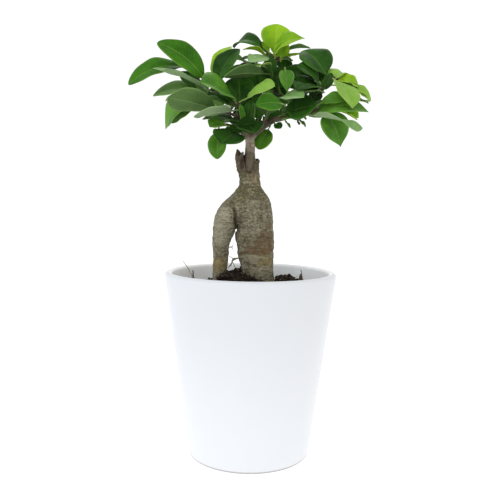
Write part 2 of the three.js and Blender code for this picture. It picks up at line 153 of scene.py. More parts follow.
class Graph:
    """A material, or the world, and the nodes that make it."""

    SPOT_EDGE = (1.15, 0.6)

    def __init__(self, name: str, world: bool = False) -> None:
        """Starts with no nodes.

        Args:
            name: The material's or the world's name.
            world: True for the world, which lights the plant from all round.
        """
        self.holder = (bpy.data.worlds if world else bpy.data.materials).new(name)
        self.holder.use_nodes = True
        self.tree = self.holder.node_tree
        self.tree.nodes.clear()

    def node(self, kind: str, settings: dict | None = None, inputs: dict | None = None) -> Node:
        """Adds a node, its settings first and then its inputs.

        Args:
            kind: The node's type.
            settings: Attribute names and their values.
            inputs: Input names or numbers, with a value or a socket for each.

        Returns:
            The wrapped node.
        """
        node = self.tree.nodes.new(kind)
        for key, setting in (settings or {}).items():
            setattr(node, key, setting)
        for key, source in (inputs or {}).items():
            if isinstance(key, int):
                target = node.inputs[key]
            else:
                target = next(s for s in node.inputs if s.name == key and s.enabled)
            if isinstance(source, Value):
                self.tree.links.new(source.socket, target)
            elif isinstance(source, tuple) and len(source) == 3 and target.type == "RGBA":
                target.default_value = (*source, 1.0)
            else:
                target.default_value = source
        return Node(self, node)

    def maths(self, operation: str, *operands: Value | float) -> Value:
        """Returns the result of a Math node.

        Args:
            operation: The operation's name.
            operands: One or two sockets or numbers.
        """
        return self.node("ShaderNodeMath", {"operation": operation}, dict(enumerate(operands))).value()

    def vector(self, operation: str, *operands: Value | Place) -> Node:
        """Adds a Vector Math node.

        Args:
            operation: The operation's name.
            operands: One or two sockets or vectors.

        Returns:
            The wrapped node.
        """
        return self.node("ShaderNodeVectorMath", {"operation": operation}, dict(enumerate(operands)))

    def mix(self, factor: Value | float, first: Value | Colour, second: Value | Colour) -> Value:
        """Returns a blend of two colours.

        Args:
            factor: 0 for the first colour and 1 for the second.
            first: A socket or a linear colour.
            second: A socket or a linear colour.
        """
        inputs = {"Factor": factor, "A": first, "B": second}
        return self.node("ShaderNodeMix", {"data_type": "RGBA"}, inputs).value("Result")

    def layers(self, ground: Value | Colour, *coats: tuple[Value | float, Value | Colour]) -> Value:
        """Lays colours over one another.

        Args:
            ground: The lowest colour.
            coats: For each coat, how much of it shows and its colour.

        Returns:
            The colour under all of its coats.
        """
        for share, colour in coats:
            ground = self.mix(share, ground, colour)
        return ground

    def coordinates(self, kind: str = "Object") -> Value:
        """Returns the texture coordinates of that kind."""
        return self.node("ShaderNodeTexCoord").value(kind)

    def axes(self, vector: Value) -> Node:
        """Adds a node that splits a vector into X, Y and Z."""
        return self.node("ShaderNodeSeparateXYZ", None, {"Vector": vector})

    def place(self, scale: Sequence[float] = (1, 1, 1)) -> Value:
        """Returns the object coordinates, stretched by a factor along each axis."""
        inputs = {"Vector": self.coordinates(), "Scale": tuple(scale)}
        return self.node("ShaderNodeMapping", None, inputs).value()

    def noise(
            self, size: float, detail: float = 3.0, stretch: Sequence[float] = (1, 1, 1),
            warp: float = 0.0) -> Value:
        """Returns a noise pattern from 0 to 1 in object space.

        Args:
            size: How large a patch is, in metres.
            detail: How many finer layers are added.
            stretch: The factor along each axis.
            warp: How far the pattern is distorted.
        """
        inputs = {"Vector": self.place(stretch), "Scale": 1 / size, "Detail": detail, "Distortion": warp}
        return self.node("ShaderNodeTexNoise", None, inputs).value(0)

    def cells(self, size: float, stretch: Sequence[float] = (1, 1, 1)) -> Value:
        """Returns the distance to the nearest of many scattered points.

        Args:
            size: How far apart the points are, in metres.
            stretch: The factor along each axis.
        """
        inputs = {"Vector": self.place(stretch), "Scale": 1 / size}
        return self.node("ShaderNodeTexVoronoi", None, inputs).value("Distance")

    def spot(self, centre: Sequence[float], radii: Sequence[float], ragged: Value | float = 0.0) -> Value:
        """Makes a soft patch: 1 inside an ellipsoid and 0 outside it.

        Args:
            centre: Its centre in millimetres.
            radii: Its half sizes in millimetres.
            ragged: What is added to the distance, so that the edge wanders.

        Returns:
            The patch.
        """
        middle, reach = (tuple(part * MM for part in parts) for parts in (centre, radii))
        away = self.vector("SUBTRACT", self.coordinates(), middle).value()
        distance = self.vector("LENGTH", self.vector("DIVIDE", away, reach).value()).value("Value")
        return (distance + ragged).ramp(*self.SPOT_EDGE)

    def sheet(self) -> tuple[Value, Value]:
        """Returns the two UV coordinates."""
        axes = self.axes(self.coordinates("UV"))
        return axes.value("X"), axes.value("Y")

    def height(self) -> Value:
        """Returns the height above the floor in metres."""
        return self.axes(self.coordinates()).value("Z")

    def radius(self) -> Value:
        """Returns the distance from the pot's axis in metres."""
        return self.vector("LENGTH", self.place((1, 1, 0))).value("Value")

    def bump(self, height: Value, depth: float, strength: float = 1.0) -> Value:
        """Returns a normal that a height pattern disturbs.

        Args:
            height: The pattern, from 0 to 1.
            depth: The pattern's full depth in metres.
            strength: How much of it shows.
        """
        inputs = {"Height": height, "Distance": depth, "Strength": strength}
        return self.node("ShaderNodeBump", None, inputs).value()

    def surface(self, inputs: dict) -> Value:
        """Returns a Principled surface with the given inputs."""
        return self.node("ShaderNodeBsdfPrincipled", None, inputs).value()

    def finish(self, shader: Value) -> bpy.types.Material:
        """Connects the surface to the output and returns the material."""
        self.node("ShaderNodeOutputMaterial", None, {"Surface": shader})
        return self.holder


# Finishes


@dataclass(frozen=True)
class Glaze:
    """Smooth satin white glaze, with painted shade towards the rim, painted light at the foot and inside, and
    a painted contact shadow on the ring that it stands on.

    Attributes:
        colour: The outer wall.
        inner: The inner wall, painted lighter than the outer wall as painted light.
        foot_shadow: A painted contact shadow on the ring that the pot stands on.
        upper: The outer wall's painted shade at the rim, as a share of its colour.
        lower: The same at the foot, where it is painted light.
        roughness: How matt it is.
        tall: The pot's height in metres.
        foot: The pot's radius at its foot in metres.
        slope: How far the wall leans out for each metre of height.
    """

    colour: Colour = (0.745, 0.762, 0.79)
    # The inner wall's lighter colour is painted light.
    inner: Colour = (0.95, 0.955, 0.955)
    # The foot ring's colour is a painted contact shadow.
    foot_shadow: Colour = (0.40, 0.375, 0.375)
    upper: float = 0.885
    lower: float = 1.02
    roughness: float = 0.3
    tall: float = 0.14
    foot: float = 0.0463
    slope: float = 0.136

    def material(self) -> bpy.types.Material:
        """Makes the glaze, with a faint cloudiness and orange peel, painted shade towards the rim, painted
        light at the foot and on the inner wall, and a painted contact shadow on the foot ring.

        Returns:
            The material.
        """
        graph = Graph("glaze")
        cloud = graph.noise(60 * MM, 2.0)
        peel = graph.noise(9 * MM, 2.0)
        height = graph.height()
        # Painted shade: the outer wall darkens towards the rim and lightens at the foot.
        ends = [tuple(share * part for part in self.colour) for share in (self.lower, self.upper)]
        shade = (height / self.tall + 0.12 * (cloud - 0.5)).ramp(0.0, 1.0)
        # inside masks the inner wall, which gets painted light.
        inside = (graph.radius() - self.foot - self.slope * height).ramp(-1.6 * MM, -4.4 * MM)
        # The ring at the foot gets a painted contact shadow.
        coats = (height.ramp(1.9 * MM, 0.7 * MM), self.foot_shadow), (inside, self.inner)
        return graph.finish(graph.surface({
            "Base Color": graph.layers(graph.mix(shade, *ends), *coats),
            "Roughness": self.roughness + 0.08 * (cloud - 0.5),
            "Specular IOR Level": 0.2,
            "Coat Weight": 0.05,
            "Coat Roughness": 0.12,
            "Normal": graph.bump(peel, 0.02 * MM, 0.5),
        }))


@dataclass(frozen=True)
class Bark:
    """Grey-olive bark of the swollen roots, with cross wrinkles, rust patches and moss.

    The patches are centres and half sizes in millimetres. The bands are heights in metres.
    """

    pale: Colour = (0.31, 0.284, 0.198)
    dark: Colour = (0.072, 0.060, 0.031)
    rust: Colour = (0.165, 0.092, 0.039)
    olive: Colour = (0.25, 0.19, 0.065)
    moss: Colour = (0.088, 0.078, 0.034)
    lichen: Colour = (0.26, 0.24, 0.085)
    crust: Colour = (0.36, 0.33, 0.18)
    rot: Colour = (0.042, 0.025, 0.015)
    lip: Colour = (0.085, 0.062, 0.04)
    callus: Colour = (0.24, 0.165, 0.105)
    lenticel: Colour = (0.46, 0.42, 0.33)

    RUST_PATCHES = (
        ((13, -14, 163.5), (11, 14, 11)), ((2, -16, 156), (13, 14, 6.5)), ((-24, 12, 150), (12, 12, 14)))
    OLIVE_PATCHES = (
        ((11, -13, 148.5), (8, 10, 5)), ((-26, -8, 146), (11, 14, 6)), ((4, 16, 150), (12, 12, 6)))
    PALE_PATCHES = (
        ((2, -16, 150.5), (12, 12, 3.4)), ((-23, -14, 172), (8, 12, 16)), ((12, 16, 168), (12, 12, 18)))
    CALLUS_SPOT = ((0, -8, 211), (4, 9, 4))
    KNOT_SPOT = ((8.8, -17, 175.6), (2, 5, 1.7))
    # A painted shade along the crease over the gap between the roots.
    CREASE_SHADE_SPOT = ((-11.6, -10, 180), (1.5, 14, 9))
    ROT_SPOT = ((-7.4, -8, 221), (2.0, 8, 6))
    MOSS_FROM = (0.188, 0.201)
    MOSS_TO = (0.2195, 0.2125)
    TORN_FROM = (0.210, 0.2175)

    def material(self) -> bpy.types.Material:
        """Makes the bark, with its stains, its mossy ring, its torn lips and a painted shade in the crease.

        Returns:
            The material.
        """
        graph = Graph("bark")
        broad = graph.noise(15 * MM, 4.0, (1, 1, 0.8), 0.6)
        fine = graph.noise(2.0 * MM, 6.0, (1, 1, 1.5), 0.4)
        rings = graph.noise(3.6 * MM, 5.0, (0.3, 0.3, 2.4), 1.4)
        grain = graph.noise(1.5 * MM, 4.0, (1.6, 1.6, 0.35), 0.6)
        speckle = graph.noise(2.0 * MM, 2.0, (1, 1, 1.3))
        edge = 2.6 * (graph.noise(9 * MM, 6.0, (1, 1, 1.8), 0.6) - 0.5)
        specks = graph.cells(3.2 * MM, (1, 1, 1.7))
        pits = graph.cells(1.9 * MM, (0.7, 0.7, 1.9))
        height = graph.height()
        tone = (0.46 * broad + 0.5 * fine + 0.2 * rings).ramp(0.42, 0.72)
        rusty = fine.ramp(0.22, 0.56) * (0.6 + 0.4 * broad.ramp(0.36, 0.56))
        rust = graph.mix((0.5 * fine + 0.5 * rings).ramp(0.4, 0.56), self.dark, self.rust)
        ring = (height + 0.0022 * edge).ramp(*self.MOSS_FROM) * height.ramp(*self.MOSS_TO)
        torn = height.ramp(*self.TORN_FROM)
        cracks = abs(rings - 0.5).ramp(0.022, 0.0) * broad.ramp(0.42, 0.56)
        stains = (
            (self.RUST_PATCHES, rusty, rust),
            (self.OLIVE_PATCHES, 0.1 + 0.9 * fine, self.olive),
            (self.PALE_PATCHES, 0.35 + 0.5 * fine, self.pale),
        )
        coats = [
            (graph.spot(centre, radii, edge) * share, stain)
            for patches, share, stain in stains for centre, radii in patches]
        coats += [
            (ring * (fine + 0.4 * edge).ramp(0.36, 0.58) * 0.8, self.moss),
            (ring * specks.ramp(0.34, 0.2) * fine.ramp(0.4, 0.5), self.lichen),
            (ring * pits.ramp(0.36, 0.2) * 0.85, self.dark),
            (ring * speckle.ramp(0.56, 0.66) * 0.6, self.crust),
            (ring * speckle.ramp(0.46, 0.37) * 0.8, self.dark),
            (torn * (0.55 + 0.4 * grain.ramp(0.35, 0.6)), self.lip),
            (torn * grain.ramp(0.56, 0.7) * 0.65, self.pale),
            (graph.spot(*self.CALLUS_SPOT, edge) * fine.ramp(0.35, 0.7) * 0.6, self.callus),
            (graph.spot(*self.KNOT_SPOT) * 0.85, self.lip),
            # Painted shade in the crease.
            (graph.spot(*self.CREASE_SHADE_SPOT) * 0.8, self.lip),
            (graph.spot(*self.ROT_SPOT, 0.3 * edge) * 0.85, self.rot),
            (specks.ramp(0.2, 0.08) * fine.ramp(0.4, 0.6) * 0.7, self.lenticel),
            (pits.ramp(0.24, 0.1) * fine.ramp(0.58, 0.42) * 0.75, self.dark),
            (cracks * 0.7, self.dark),
        ]
        relief = 0.45 * rings + 0.6 * fine - 0.3 * specks.ramp(0.3, 0.1) - 0.35 * cracks + 0.5 * torn * grain
        return graph.finish(graph.surface({
            "Base Color": graph.layers(graph.mix(tone, self.dark, self.pale), *coats),
            "Roughness": 0.68 + 0.24 * fine,
            "Specular IOR Level": 0.2,
            "Normal": graph.bump(relief, 0.95 * MM, 0.9),
        }))


@dataclass(frozen=True)
class StemBark:
    """Grey bark of the grafted stem, brown in the graft, and darker on the twigs, partly their own bark and
    partly painted shade under the leaves.
    """

    pale: Colour = (0.40, 0.34, 0.255)
    dark: Colour = (0.13, 0.10, 0.068)
    # The twig colours are partly the twigs' olive bark and partly painted shade under the leaves.
    shaded_twig_pale: Colour = (0.088, 0.069, 0.038)
    shaded_twig_dark: Colour = (0.022, 0.018, 0.010)
    graft: Colour = (0.085, 0.06, 0.04)

    SHADED_TWIGS_FROM = (0.2375, 0.2445)
    GRAFT_TO = (0.2325, 0.2275)

    def material(self) -> bpy.types.Material:
        """Makes the stem's bark, with scars that go round it and pale dots.

        Returns:
            The material.
        """
        graph = Graph("stem_bark")
        broad = graph.noise(8 * MM, 4.0, (1, 1, 0.5), 0.5)
        fine = graph.noise(1.5 * MM, 5.0, (1, 1, 0.5))
        scars = graph.noise(4.2 * MM, 3.0, (0.25, 0.25, 1.8), 0.8)
        dots = graph.cells(2.2 * MM)
        height = graph.height()
        tone = (0.65 * broad + 0.4 * fine).ramp(0.34, 0.72)
        # Above this height the bark takes the twig colours, with their painted shade.
        twigs = (height + 0.006 * (broad - 0.5)).ramp(*self.SHADED_TWIGS_FROM)
        colour = graph.layers(
            graph.mix(tone, self.dark, self.pale),
            (twigs, graph.mix(tone, self.shaded_twig_dark, self.shaded_twig_pale)),
            (height.ramp(*self.GRAFT_TO) * (0.6 + 0.35 * fine), self.graft),
            (abs(scars - 0.5).ramp(0.03, 0.0) * (0.6 - 0.5 * twigs), self.graft),
            (dots.ramp(0.17, 0.07) * 0.5, self.pale))
        return graph.finish(graph.surface({
            "Base Color": colour,
            "Roughness": 0.62 + 0.25 * fine,
            "Specular IOR Level": 0.3,
            "Normal": graph.bump(0.6 * fine + 0.3 * dots + 0.3 * scars, 0.45 * MM, 0.7),
        }))


@dataclass(frozen=True)
class Wood:
    """Thin woody skin: twigs, dead wood, roots and chips."""

    name: str
    pale: Colour
    dark: Colour

    def material(self) -> bpy.types.Material:
        """Makes the skin, with fine grooves and pale dots.

        Returns:
            The material.
        """
        graph = Graph(self.name)
        broad = graph.noise(9 * MM, 4.0, (1, 1, 0.5), 0.5)
        fine = graph.noise(1.6 * MM, 5.0, (1, 1, 0.5))
        dots = graph.cells(2.4 * MM)
        tone = (0.65 * broad + 0.4 * fine).ramp(0.34, 0.72)
        dotted = dots.ramp(0.18, 0.08) * 0.6, self.pale
        return graph.finish(graph.surface({
            "Base Color": graph.layers(graph.mix(tone, self.dark, self.pale), dotted),
            "Roughness": 0.62 + 0.25 * fine,
            "Normal": graph.bump(0.7 * fine + 0.4 * dots, 0.35 * MM, 0.6),
        }))


class Fibre(Enum):
    """The woody finishes of the small pieces."""

    # The side twigs are dark olive, partly their own bark and partly painted shade inside the crown.
    TWIG = Wood("twig_bark", (0.075, 0.08, 0.03), (0.028, 0.029, 0.012))
    DEAD = Wood("dead_wood", (0.15, 0.085, 0.05), (0.035, 0.02, 0.014))
    THREAD = Wood("pale_root", (0.55, 0.47, 0.33), (0.3, 0.23, 0.15))
    HAIR = Wood("hair", (0.10, 0.066, 0.04), (0.03, 0.02, 0.012))
    CHIP = Wood("chips", (0.26, 0.18, 0.11), (0.045, 0.027, 0.016))


@dataclass(frozen=True)
class Earth:
    """Dark crumbly potting soil."""

    name: str = "soil"
    pale: Colour = (0.036, 0.025, 0.018)
    dark: Colour = (0.006, 0.0045, 0.0035)

    def material(self) -> bpy.types.Material:
        """Makes the soil, with its grains and clods.

        Returns:
            The material.
        """
        graph = Graph(self.name)
        grain = graph.noise(1.3 * MM, 6.0)
        clods = graph.cells(3.0 * MM)
        colour = graph.mix((0.6 * grain + 0.5 * clods).ramp(0.3, 0.8), self.dark, self.pale)
        return graph.finish(graph.surface({
            "Base Color": colour,
            "Roughness": 0.85 + 0.12 * grain,
            "Specular IOR Level": 0.1,
            "Normal": graph.bump(grain, 0.6 * MM, 0.8),
        }))


@dataclass(frozen=True)
class Foliage:
    """One age of leaf: its upper face, its underside and its veins.

    Attributes:
        name: The material's name.
        light: The upper face where it is light.
        deep: The upper face where it is dark.
        vein: The veins, and the pale margin, which is partly the leaf's thin rim and partly a painted sheen.
        under: The underside where it is light.
        roughness: How matt the upper face is.
        glow: How much light comes through.
        gloss: The specular level of the upper face.
    """

    name: str
    light: Colour
    deep: Colour
    vein: Colour
    under: Colour
    roughness: float
    glow: float
    gloss: float = 0.12

    VEIN_STRENGTH = 0.55
    SIDE_VEINS = 15.0
    SLANT = 3.4
    UNDER_SHADE = 0.72
    UNDER_GLOSS = 0.05

    def material(self, underside: bool) -> bpy.types.Material:
        """Makes the leaf's surface.

        Args:
            underside: True for the matt lower face.

        Returns:
            The material.
        """
        graph = Graph(self.name + ("_under" if underside else ""))
        along, across = graph.sheet()
        edge = abs(across - 0.5) * 2.0
        branch = (along * self.SIDE_VEINS - edge * self.SLANT).fraction() - 0.5
        laterals = abs(branch).ramp(0.075, 0.0) * edge.ramp(0.98, 0.7) * 0.4
        veins = graph.maths("MAXIMUM", edge.ramp(0.05, 0.012), laterals)
        patches = graph.noise(21 * MM, 3.0, (1, 1, 1), 0.4)
        mottle = graph.noise(3.2 * MM, 4.0)
        # The across term paints one half of the blade lighter than the other: a painted sheen.
        tone = (0.8 * patches + 0.25 * mottle + 0.09 * across).ramp(0.42, 0.73)
        if underside:
            ends = tuple(self.UNDER_SHADE * part for part in self.under), self.under
        else:
            ends = self.deep, self.light
        colour = graph.layers(
            graph.mix(tone, *ends),
            (veins * self.VEIN_STRENGTH, self.vein),
            # The pale margin is partly the leaf's thin rim and partly a painted sheen along the edge.
            (edge.ramp(0.84, 1.0) * 0.42, self.vein))
        relief = 0.55 * mottle + (0.9 if underside else -0.9) * veins
        matt = 0.22 if underside else 0.0
        skin = graph.surface({
            "Base Color": colour,
            "Roughness": self.roughness + matt + 0.16 * (mottle - 0.5),
            "Specular IOR Level": self.UNDER_GLOSS if underside else self.gloss,
            "Normal": graph.bump(relief, 0.22 * MM, 0.55),
        })
        through = graph.node("ShaderNodeBsdfTranslucent", None, {"Color": colour}).value()
        mixed = graph.node("ShaderNodeMixShader", None, {0: self.glow, 1: skin, 2: through}).value()
        return graph.finish(mixed)


class Age(Enum):
    """The ages of leaf that the plant carries; PALE and DULL also carry a painted sheen, DEEP is a painted
    shade and OLD partly a painted shade.
    """

    TENDER = Foliage(
        "leaf_tender", (0.36, 0.62, 0.018), (0.20, 0.43, 0.010), (0.52, 0.68, 0.12), (0.34, 0.5, 0.05),
        0.42, 0.3)
    YOUNG = Foliage(
        "leaf_young", (0.32, 0.56, 0.09), (0.20, 0.40, 0.04), (0.48, 0.64, 0.18), (0.28, 0.46, 0.13),
        0.42, 0.22)
    GROWN = Foliage(
        "leaf_grown", (0.116, 0.305, 0.026), (0.05, 0.17, 0.012), (0.24, 0.43, 0.08), (0.17, 0.30, 0.075),
        0.38, 0.15)
    # DEEP is a darker copy of GROWN for leaves that the lamps light too strongly: painted shade.
    DEEP = Foliage(
        "leaf_deep", (0.052, 0.19, 0.009), (0.022, 0.10, 0.004), (0.22, 0.40, 0.07), (0.15, 0.27, 0.06),
        0.36, 0.12, 0.07)
    # DULL and PALE are greyish, paler leaves, and also stand for broad highlights: partly painted sheen.
    DULL = Foliage(
        "leaf_dull", (0.15, 0.30, 0.06), (0.075, 0.18, 0.03), (0.28, 0.42, 0.15), (0.12, 0.22, 0.065),
        0.45, 0.12)
    PALE = Foliage(
        "leaf_pale", (0.29, 0.46, 0.185), (0.17, 0.33, 0.09), (0.36, 0.52, 0.24), (0.34, 0.475, 0.25),
        0.45, 0.15)
    # OLD is the dark green of old leaves, and is also given to leaves in shade: partly painted shade.
    OLD = Foliage(
        "leaf_old", (0.036, 0.124, 0.013), (0.011, 0.044, 0.005), (0.10, 0.21, 0.04), (0.052, 0.10, 0.03),
        0.34, 0.08, 0.06)

    def slot(self) -> str:
        """Returns the record's material slot of this age."""
        slots = {Age.OLD: "leaf_old", Age.DEEP: "leaf_old", Age.TENDER: "leaf_young", Age.YOUNG: "leaf_young"}
        return slots.get(self, "leaf_grown")


class Dresser:
    """Makes each finish once and hands it out."""

    def __init__(self) -> None:
        """Starts with no material made."""
        self.made: dict[object, list[bpy.types.Material]] = {}

    def leaf(self, age: Age) -> list[bpy.types.Material]:
        """Hands out the finish of a leaf.

        Args:
            age: The leaf's age.

        Returns:
            The materials of its upper face and its underside.
        """
        if age not in self.made:
            self.made[age] = [age.value.material(underside) for underside in (False, True)]
        return self.made[age]

    def plain(self, finish: Glaze | Bark | StemBark | Wood | Earth) -> list[bpy.types.Material]:
        """Hands out a finish that has one side.

        Args:
            finish: The finish.

        Returns:
            Its material, in a list.
        """
        if finish not in self.made:
            self.made[finish] = [finish.material()]
        return self.made[finish]


# Mesh helpers


def new_piece(
        name: str, mesh: bmesh.types.BMesh, materials: Sequence[bpy.types.Material],
        replaced: Sequence[str] = (), smooth: bool = True) -> bpy.types.Object:
    """Turns a bmesh into a piece that rides on the plant.

    Args:
        name: The piece's name.
        mesh: Its shape. It is freed here.
        materials: Its material slots.
        replaced: The CAD nodes that it stands for.
        smooth: True to shade it smooth.

    Returns:
        The new object.
    """
    data = bpy.data.meshes.new(name)
    mesh.to_mesh(data)
    mesh.free()
    for material in materials:
        data.materials.append(material)
    for face in data.polygons:
        face.use_smooth = smooth
    piece = bpy.data.objects.new(name, data)
    bpy.context.scene.collection.objects.link(piece)
    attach(piece, "root")
    if replaced:
        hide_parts(*replaced)
    log.info("%s: %d faces", name, len(data.polygons))
    return piece


def only(parts: Sequence, kind: type) -> list:
    """Returns the vertices, edges or faces among mixed parts."""
    return [part for part in parts if isinstance(part, kind)]


def merged_copy(node: str) -> bmesh.types.BMesh:
    """Copies a CAD node's shape and merges its loose triangles.

    Args:
        node: The node's name.

    Returns:
        The shape.
    """
    mesh = bmesh.new()
    mesh.from_mesh(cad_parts[node].data)
    bmesh.ops.remove_doubles(mesh, verts=mesh.verts, dist=MERGE)
    return mesh


def remeshed(mesh: bmesh.types.BMesh, voxel: float, passes: int) -> bmesh.types.BMesh:
    """Wraps a closed shape in an even, smoothed skin.

    Args:
        mesh: The shape. It is freed here.
        voxel: The skin's grid in metres.
        passes: How many times it is smoothed.

    Returns:
        The skin.
    """
    data = bpy.data.meshes.new("remesh")
    mesh.to_mesh(data)
    mesh.free()
    carrier = bpy.data.objects.new("remesh", data)
    bpy.context.scene.collection.objects.link(carrier)
    modifier = carrier.modifiers.new("voxels", "REMESH")
    modifier.mode = "VOXEL"
    modifier.voxel_size = voxel
    evaluated = carrier.evaluated_get(bpy.context.evaluated_depsgraph_get())
    skin = bmesh.new()
    skin.from_mesh(evaluated.to_mesh())
    evaluated.to_mesh_clear()
    bpy.data.objects.remove(carrier)
    bpy.data.meshes.remove(data)
    for _ in range(passes):
        bmesh.ops.smooth_vert(
            skin, verts=skin.verts, factor=0.5, use_axis_x=True, use_axis_y=True, use_axis_z=True)
    return skin


def displace(mesh: bmesh.types.BMesh, rule: Callable[[bmesh.types.BMVert], Vector]) -> None:
    """Moves every vertex by what a rule says of it before any of them moves.

    Args:
        mesh: The shape.
        rule: Returns a vertex's move in metres.
    """
    mesh.normal_update()
    for vertex, move in zip(mesh.verts, [rule(vertex) for vertex in mesh.verts]):
        vertex.co += move


def ripple(place: Vector, flat: float, rise: float) -> float:
    """Returns a noise with one pitch across the trunk and another along its height."""
    return noise.noise(Vector((place.x * flat, place.y * flat, place.z * rise)))


def catmull(points: Sequence[Vector], place: float) -> Vector:
    """Finds a point on the smooth curve through evenly counted points.

    Args:
        points: The points that the curve passes.
        place: The position, from 0 at the first to len - 1 at the last.

    Returns:
        The point.
    """
    last = len(points) - 1
    index = min(max(int(place), 0), last - 1)
    share = min(max(place - index, 0.0), 1.0)
    p1, p2 = points[index], points[index + 1]
    p0 = points[index - 1] if index > 0 else p1 * 2 - p2
    p3 = points[index + 2] if index + 2 <= last else p2 * 2 - p1
    bent = (p1 * 3 - p2 * 3 + p3 - p0) * share
    return (p1 * 2 + (p2 - p0 + (p0 * 2 - p1 * 5 + p2 * 4 - p3 + bent) * share) * share) / 2


def smoothstep(low: float, high: float, place: float) -> float:
    """Returns a smooth step from 0 at low to 1 at high."""
    share = min(max((place - low) / (high - low), 0.0), 1.0)
    return share * share * (3 - 2 * share)


def sweep(mesh: bmesh.types.BMesh, points: Sequence[Vector], radii: Sequence[float], sides: int = 8) -> list:
    """Adds a round limb with closed ends along points.

    Args:
        mesh: The shape that it is added to.
        points: The centre line.
        radii: The radius at each point.
        sides: How many sides it has.

    Returns:
        The new vertices.
    """
    made = bmesh.ops.create_circle(mesh, cap_ends=False, segments=sides, radius=1.0)["verts"]
    ring = list(made)
    edges = list(dict.fromkeys(edge for vertex in made for edge in vertex.link_edges))
    mesh.faces.new(reversed(ring))
    everything = list(ring)
    angles = [2 * math.pi * index / sides for index in range(sides)]
    side = None
    for number, (point, radius) in enumerate(zip(points, radii)):
        if number:
            grown = bmesh.ops.extrude_edge_only(mesh, edges=edges)["geom"]
            ring = only(grown, bmesh.types.BMVert)
            edges = [edge for edge in only(grown, bmesh.types.BMEdge) if len(edge.link_faces) == 1]
            everything.extend(ring)
        ahead = points[min(number + 1, len(points) - 1)] - points[max(number - 1, 0)]
        ahead.normalize()
        across = side or ahead.orthogonal()
        side = (across - ahead * across.dot(ahead)).normalized()
        up = ahead.cross(side)
        order = sorted_ring(ring, number, everything, sides)
        for vertex, angle in zip(order, angles):
            vertex.co = point + (side * math.cos(angle) + up * math.sin(angle)) * radius
    mesh.faces.new(sorted_ring(ring, number, everything, sides))
    return everything


def sorted_ring(ring: list, number: int, everything: list, sides: int) -> list:
    """Puts a ring's vertices in the order of the ring before it.

    Args:
        ring: The ring's vertices.
        number: How many rings come before it.
        everything: The vertices of all rings so far. Its last ring is put in order too.
        sides: How many vertices a ring has.

    Returns:
        The ring in order.
    """
    if not number:
        return list(ring)
    before = everything[-2 * sides:-sides]
    order = []
    for vertex in before:
        order.append(next(e.other_vert(vertex) for e in vertex.link_edges if e.other_vert(vertex) in ring))
    everything[-sides:] = order
    return order


# Leaves


